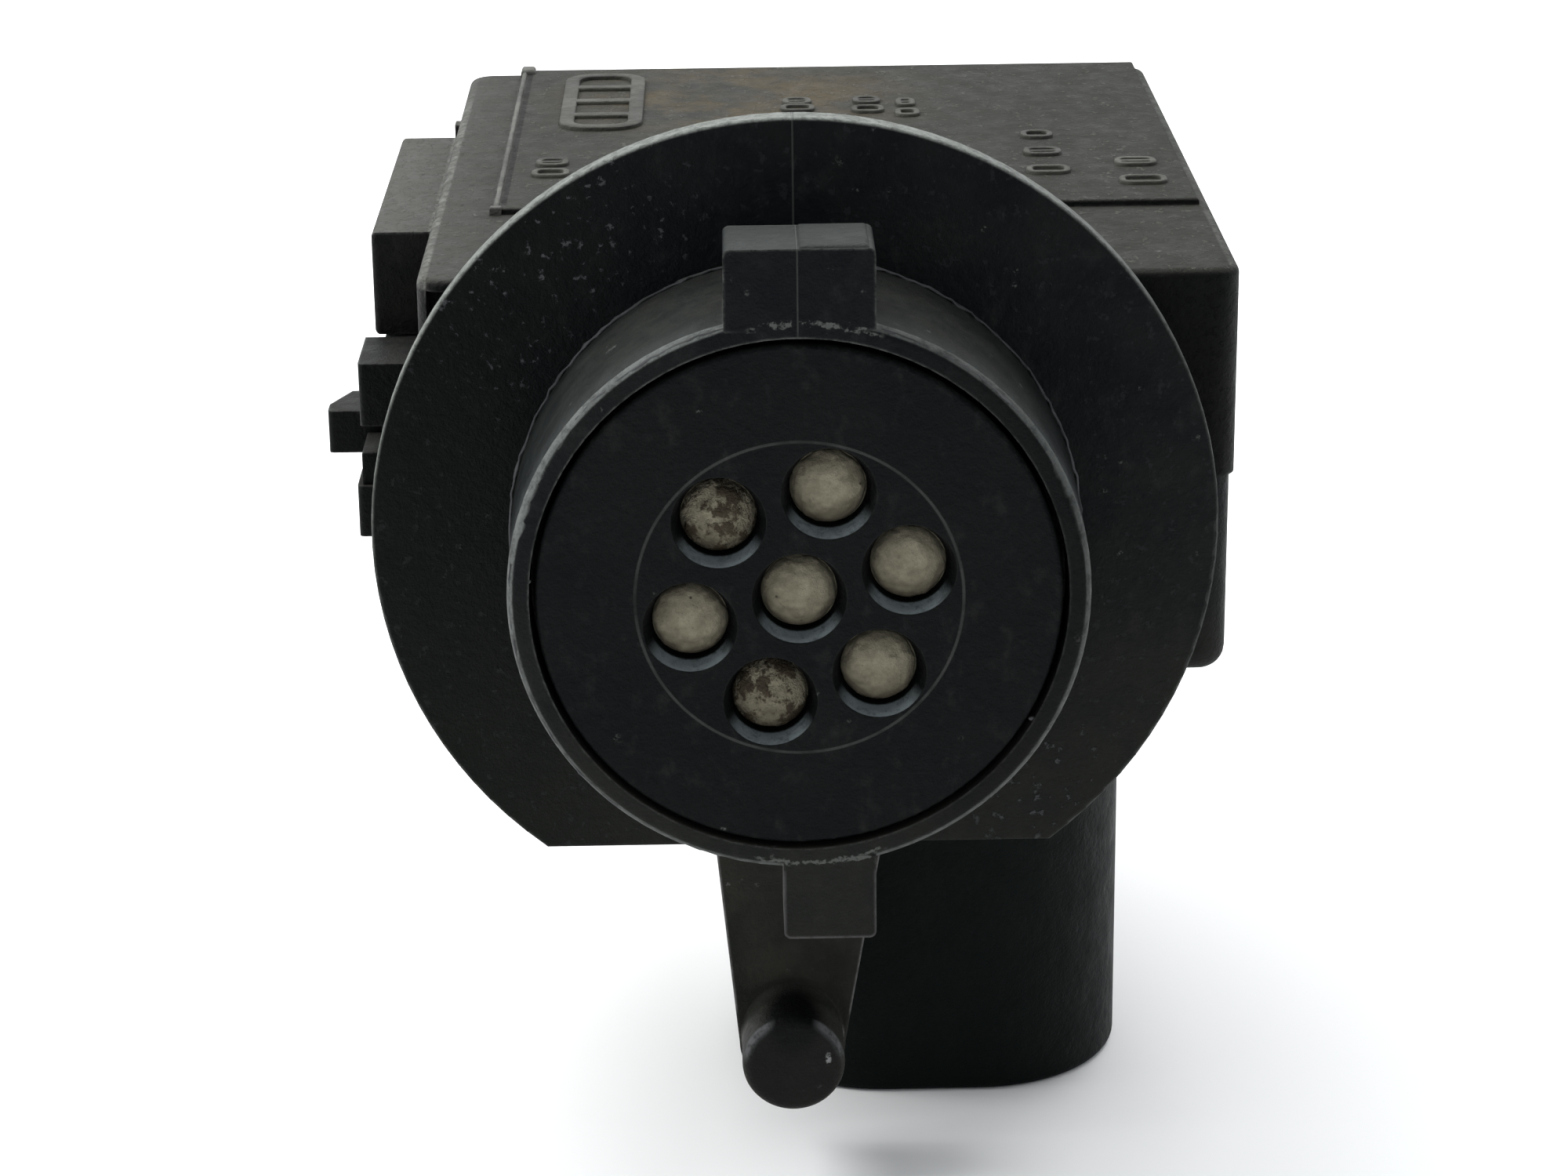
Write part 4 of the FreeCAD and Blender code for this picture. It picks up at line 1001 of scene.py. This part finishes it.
welt = add_bar("lid_welt", (PANEL_LEFT + 0.05, PANEL_LEFT + 0.34), (PANEL_FRONT + 0.3, PANEL_BACK),
               (PANEL_TOP - 0.15, PANEL_TOP + 0.13), 0.11)
spike = add_bar("welt_spike", (PANEL_LEFT - 0.05, PANEL_LEFT + 0.85), (PANEL_BACK - 1.4, PANEL_BACK),
                (PANEL_TOP - 0.2, PANEL_TOP + 0.28), 0.22)
foot = add_bar("welt_foot", (PANEL_LEFT - 0.15, PANEL_LEFT + 0.5),
               (PANEL_FRONT - 0.1, PANEL_FRONT + 0.4), (PANEL_TOP - 0.4, PANEL_TOP + 0.1), 0.1)
edit(welt, "EDGE")
choose(welt, lambda centre, item: item.calc_length() > 5 * MM)
bpy.ops.mesh.subdivide(number_cuts=60)
bpy.ops.mesh.select_all(action="SELECT")
bpy.ops.transform.vertex_random(offset=0.03 * MM, seed=3)
welt = join(welt, spike, foot)
clean(welt, 50)
hand_over(welt, welt_worn_and_lit_plastic, "root")

# %% Lid grille
GRILLE_X, GRILLE_Y = (-13.3, -8.3), (36.2, 51.6)
GRILLE_BAR = 0.9
SUNK = 0.1


def add_ladder(name, x, y, bar, rungs, height=0.24):
    """A rounded frame between (low, high) pairs in mm, its bars bar wide, with some rungs."""
    middle_z = PANEL_TOP + (height - SUNK) / 2
    width, length = x[1] - x[0], y[1] - y[0]
    edge_round = min(0.12, bar * 0.3)
    rest()
    bpy.ops.mesh.primitive_cube_add(size=1, location=mm(sum(x) / 2, sum(y) / 2, middle_z),
                                    scale=mm(width, length, height + SUNK))
    ladder = named(name)
    edit(ladder, "EDGE")
    choose(ladder, lambda centre, item: abs(centre.z - middle_z) < 0.01)
    bpy.ops.mesh.bevel(offset=min(width, length) * 0.38 * MM, segments=5)
    bpy.ops.mesh.select_mode(type="FACE")
    choose(ladder, lambda centre, item: abs(item.normal.z) > 0.9)
    bpy.ops.mesh.inset(thickness=bar * MM)
    bpy.ops.mesh.bridge_edge_loops()
    bpy.ops.mesh.select_mode(type="EDGE")
    choose(ladder, lambda centre, item: (
        centre.z > PANEL_TOP + height - 0.02 and item.calc_face_angle(0) > math.radians(40)))
    bpy.ops.mesh.bevel(offset=edge_round * MM, segments=2)
    pieces = []
    for index in range(rungs):
        rung_y = y[0] + (index + 1) * length / (rungs + 1)
        pieces.append(add_bar("rung", (x[0] + bar / 2, x[1] - bar / 2),
                              (rung_y - bar / 2, rung_y + bar / 2),
                              (PANEL_TOP - SUNK, PANEL_TOP + height * 0.9), edge_round))
    ladder = join(ladder, *pieces)
    clean(ladder, 40)
    return ladder


grille = add_ladder("lid_grille", GRILLE_X, GRILLE_Y, GRILLE_BAR, 3)
hand_over(grille, raised_plastic, "root")

# %% Lid bars
FRAME_BAR, FRAME_LENGTH, FRAME_HEIGHT = 0.38, 1.8, 0.2
SMALL_LADDERS = (
    ((13.7, 16.2), (23.5, 28.0, 32.4)),
    ((18.7, 21.4), (20.8, 25.2)),
    ((0.0, 2.1), (40.4, 42.3)),
    ((4.3, 6.3), (39.9, 42.4)),
    ((6.9, 8.4), (38.8, 41.6)),
    ((-14.4, -12.2), (24.4, 27.0)),
)
ladders = []
for row, (row_x, row_ys) in enumerate(SMALL_LADDERS):
    for index, ladder_y in enumerate(row_ys):
        shorter = 0.3 * ((index * 7 + row * 3) % 3)
        ladder_x = (row_x[0] + shorter / 2, row_x[1] - shorter / 2)
        ladders.append(add_ladder("lid_bars", ladder_x, (ladder_y, ladder_y + FRAME_LENGTH),
                                  FRAME_BAR, index % 2, FRAME_HEIGHT))
lid_bars = join(*ladders)
hand_over(lid_bars, raised_plastic, "root")

# %% [markdown]
# Flash is the thin ragged skin that squeezes out where the tool's parts meet. Here it runs
# round the spigot's foot and round part of its mouth, and a few crumbs of it hang in the gap
# round the cap. A ring of it starts as a thin cylinder wall whose points are jogged by a
# seeded random amount.

# %% Flash
def add_flash(name, radius, y, width, jog, seed, keep):
    """A ragged ring round the head's axis. keep says which of its faces stay."""
    rest()
    bpy.ops.mesh.primitive_cylinder_add(
        vertices=220, radius=radius * MM, depth=width * MM, end_fill_type="NOTHING",
        rotation=(math.pi / 2, 0, 0), location=mm(0, y, 0))
    ring = named(name)
    edit(ring, "FACE")
    choose(ring, lambda centre, item: not keep(centre))
    bpy.ops.mesh.delete(type="FACE")
    bpy.ops.mesh.select_all(action="SELECT")
    bpy.ops.transform.vertex_random(offset=jog * MM, seed=seed)
    bpy.ops.mesh.normals_make_consistent(inside=False)
    apply(ring, "SOLIDIFY", thickness=0.12 * MM, offset=0)
    apply(ring, "BEVEL", width=0.03 * MM, segments=1)
    clean(ring, 60)
    return ring


def in_flange_face(centre):
    return centre.z > -17.0


foot_flash = add_flash("spigot_flash", SPIGOT_RADIUS + 0.06, -0.14, 0.24, 0.11, 5,
                       in_flange_face)
mouth_flash = add_flash("mouth_flash", 14.33, -9.97, 0.16, 0.09, 9,
                        lambda centre: centre.z > 9.5 or (centre.x < -9 and centre.z < 2)
                        or (centre.z < -13 and -0.2 < centre.x < 3))
flash_plastic = moulded_plastic(
    "flash_plastic", shade_of_grey(0.035, -0.03), shade_of_grey(0.095, -0.03), edge_wear_and_highlight=0.6,
    dust=0.4, speck_share=0.3, edge_width=0.08)
flash = join(foot_flash, mouth_flash)
hand_over(flash, flash_plastic, "root")

# %% Crumbs
CRUMBS = ((-13.52, 1.1, 0.20), (-13.47, 2.6, 0.24), (-1.45, -13.45, 0.2), (5.2, 13.1, 0.16),
          (11.6, -6.6, 0.14))
CRUMB_Y = -9.94
crumbs_made = []
for crumb_x, crumb_z, crumb_size in CRUMBS:
    rest()
    bpy.ops.mesh.primitive_ico_sphere_add(subdivisions=3, radius=crumb_size * MM,
                                          location=mm(crumb_x, CRUMB_Y, crumb_z),
                                          scale=(1.3, 0.7, 0.8))
    crumb = named("gap_crumbs")
    edit(crumb, "VERT")
    bpy.ops.mesh.select_all(action="SELECT")
    bpy.ops.transform.vertex_random(offset=0.012 * MM, seed=11)
    crumbs_made.append(crumb)
crumbs_piece = join(*crumbs_made)
clean(crumbs_piece, 60)
hand_over(crumbs_piece, flash_plastic, "root")

# %% [markdown]
# The housing's side bracket is a stack of small blocks. A web joins its foot to the catch
# above it, so that no light comes through between them.

# %% Bracket web
bracket_web = add_bar("bracket_web", (-23.5, -22.2), (12.3, 16.2), (-1.0, 0.95), 0.08)
hand_over(bracket_web, housing_plastic, "root")

# %% [markdown]
# On the top lug the two tool halves missed each other by a hair, so its right half stands a
# little higher. A thin bar with worn edges is laid on that half.

# %% Lug step
STEP_FRONT = -10.14
lug_step = add_bar("lug_step", (0.05, 3.62), (STEP_FRONT, -5.44), (17.5, 17.98), 0.3)
edit(lug_step, "EDGE")
choose(lug_step, lambda centre, item: abs(centre.y - STEP_FRONT) < 0.01 and centre.z > 17.6)
bpy.ops.mesh.bevel(offset=0.05 * MM, segments=2)
clean(lug_step, 40)
hand_over(lug_step, housing_plastic, "root")

# %% [markdown]
# The pieces inside are seen only when the sensor is opened, but each gets the finish of its
# real material: green laminate, black epoxy, tinned and drawn metal, pale ceramic, foam,
# rubber and cast resin. One function mixes two shades by a noise, and a finer noise drives
# roughness and relief.


# %% Inner finishes
def plain_finish(name, first, second, size, rough, relief, metal, stretch):
    """Two shades mixed by noise of this size in mm. A finer noise sets roughness and relief."""
    g = Graph(name)
    cloud = g.noise(size, 4, 0.6, stretch=stretch)
    fine = g.noise(size / 6, 3, 0.6, stretch=stretch, shift=9)
    colour = g.blend(g.ramp(cloud, 0.3, 0.7), first, second)
    colour = g.blend(g.ramp(fine, 0.5, 0.8, 0.0, 0.4), colour,
                     tuple(channel * 0.6 for channel in first[:3]) + (1,))
    g.bumps((fine, relief), (cloud, relief * 2))
    return g.finish(colour, g.ramp(fine, 0.3, 0.7, rough - 0.08, rough + 0.1), Metallic=metal)


EVEN = (1, 1, 1)
DRAWN_IN = (1, 0.1, 1)
DRAWN_DOWN = (1, 1, 0.2)
# Two shades, noise size in mm, roughness, relief in mm, metal, stretch, and the nodes.
FINISHES = {
    "foam_black": (shade_of_grey(0.012), shade_of_grey(0.03), 0.5, 0.9, 0.12, 0, EVEN,
                   ("membrane_ring",)),
    "seal_rubber": (shade_of_grey(0.008), shade_of_grey(0.018), 1.5, 0.7, 0.02, 0, EVEN,
                    ("lid_seal", "cap_gasket")),
    "holder_plastic": (shade_of_grey(0.30, 0.04), shade_of_grey(0.38, 0.04), 2.0, 0.5, 0.02, 0,
                       EVEN, ("sensor_holder", "terminal_insert")),
    "can_steel": (shade_of_grey(0.50), shade_of_grey(0.62), 1.2, 0.32, 0.01, 1, DRAWN_IN,
                  ("sensor_can", "sensor_screen")),
    "header_plating": ((0.75, 0.56, 0.26, 1), (0.85, 0.66, 0.34, 1), 1.0, 0.3, 0.01, 1, EVEN,
                       ("sensor_header", "sensor_leads", "link_pins")),
    "chip_ceramic": (shade_of_grey(0.68), shade_of_grey(0.78), 0.4, 0.55, 0.01, 0, EVEN,
                     ("sensor_chip",)),
    "board_laminate": ((0.010, 0.085, 0.035, 1), (0.016, 0.120, 0.050, 1), 0.9, 0.35, 0.02, 0,
                       EVEN, ("main_board", "sensor_board")),
    "chip_epoxy": (shade_of_grey(0.010), shade_of_grey(0.018), 0.6, 0.6, 0.02, 0, EVEN,
                   ("microcontroller", "regulator", "output_transistor", "protection_diode",
                    "choke", "capacitor_base")),
    "tinned_metal": (shade_of_grey(0.58), shade_of_grey(0.72), 0.7, 0.34, 0.01, 1, EVEN,
                     ("microcontroller_leads", "regulator_tab", "capacitor_can", "resonator")),
    "capacitor_ceramic": ((0.32, 0.20, 0.10, 1), (0.42, 0.27, 0.14, 1), 0.5, 0.45, 0.01, 0,
                          EVEN, ("ceramic_capacitors", "chip_resistors")),
    "terminal_tin": (shade_of_grey(0.62, 0.02), shade_of_grey(0.74, 0.01), 1.4, 0.28, 0.01, 1,
                     DRAWN_DOWN, ("terminal_supply", "terminal_signal", "terminal_ground")),
    "potting_resin": ((0.012, 0.012, 0.014, 1), (0.022, 0.022, 0.026, 1), 3.0, 0.15, 0.02, 0,
                      EVEN, ("terminal_potting",)),
}
painted = {"housing", "lid", "latch_arm", "vent_cap", "vent_membrane"}
for name, (*recipe, node_names) in FINISHES.items():
    paint(plain_finish(name, *recipe), *node_names)
    painted.update(node_names)
print("nodes without a finish:", sorted(set(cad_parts) - painted))
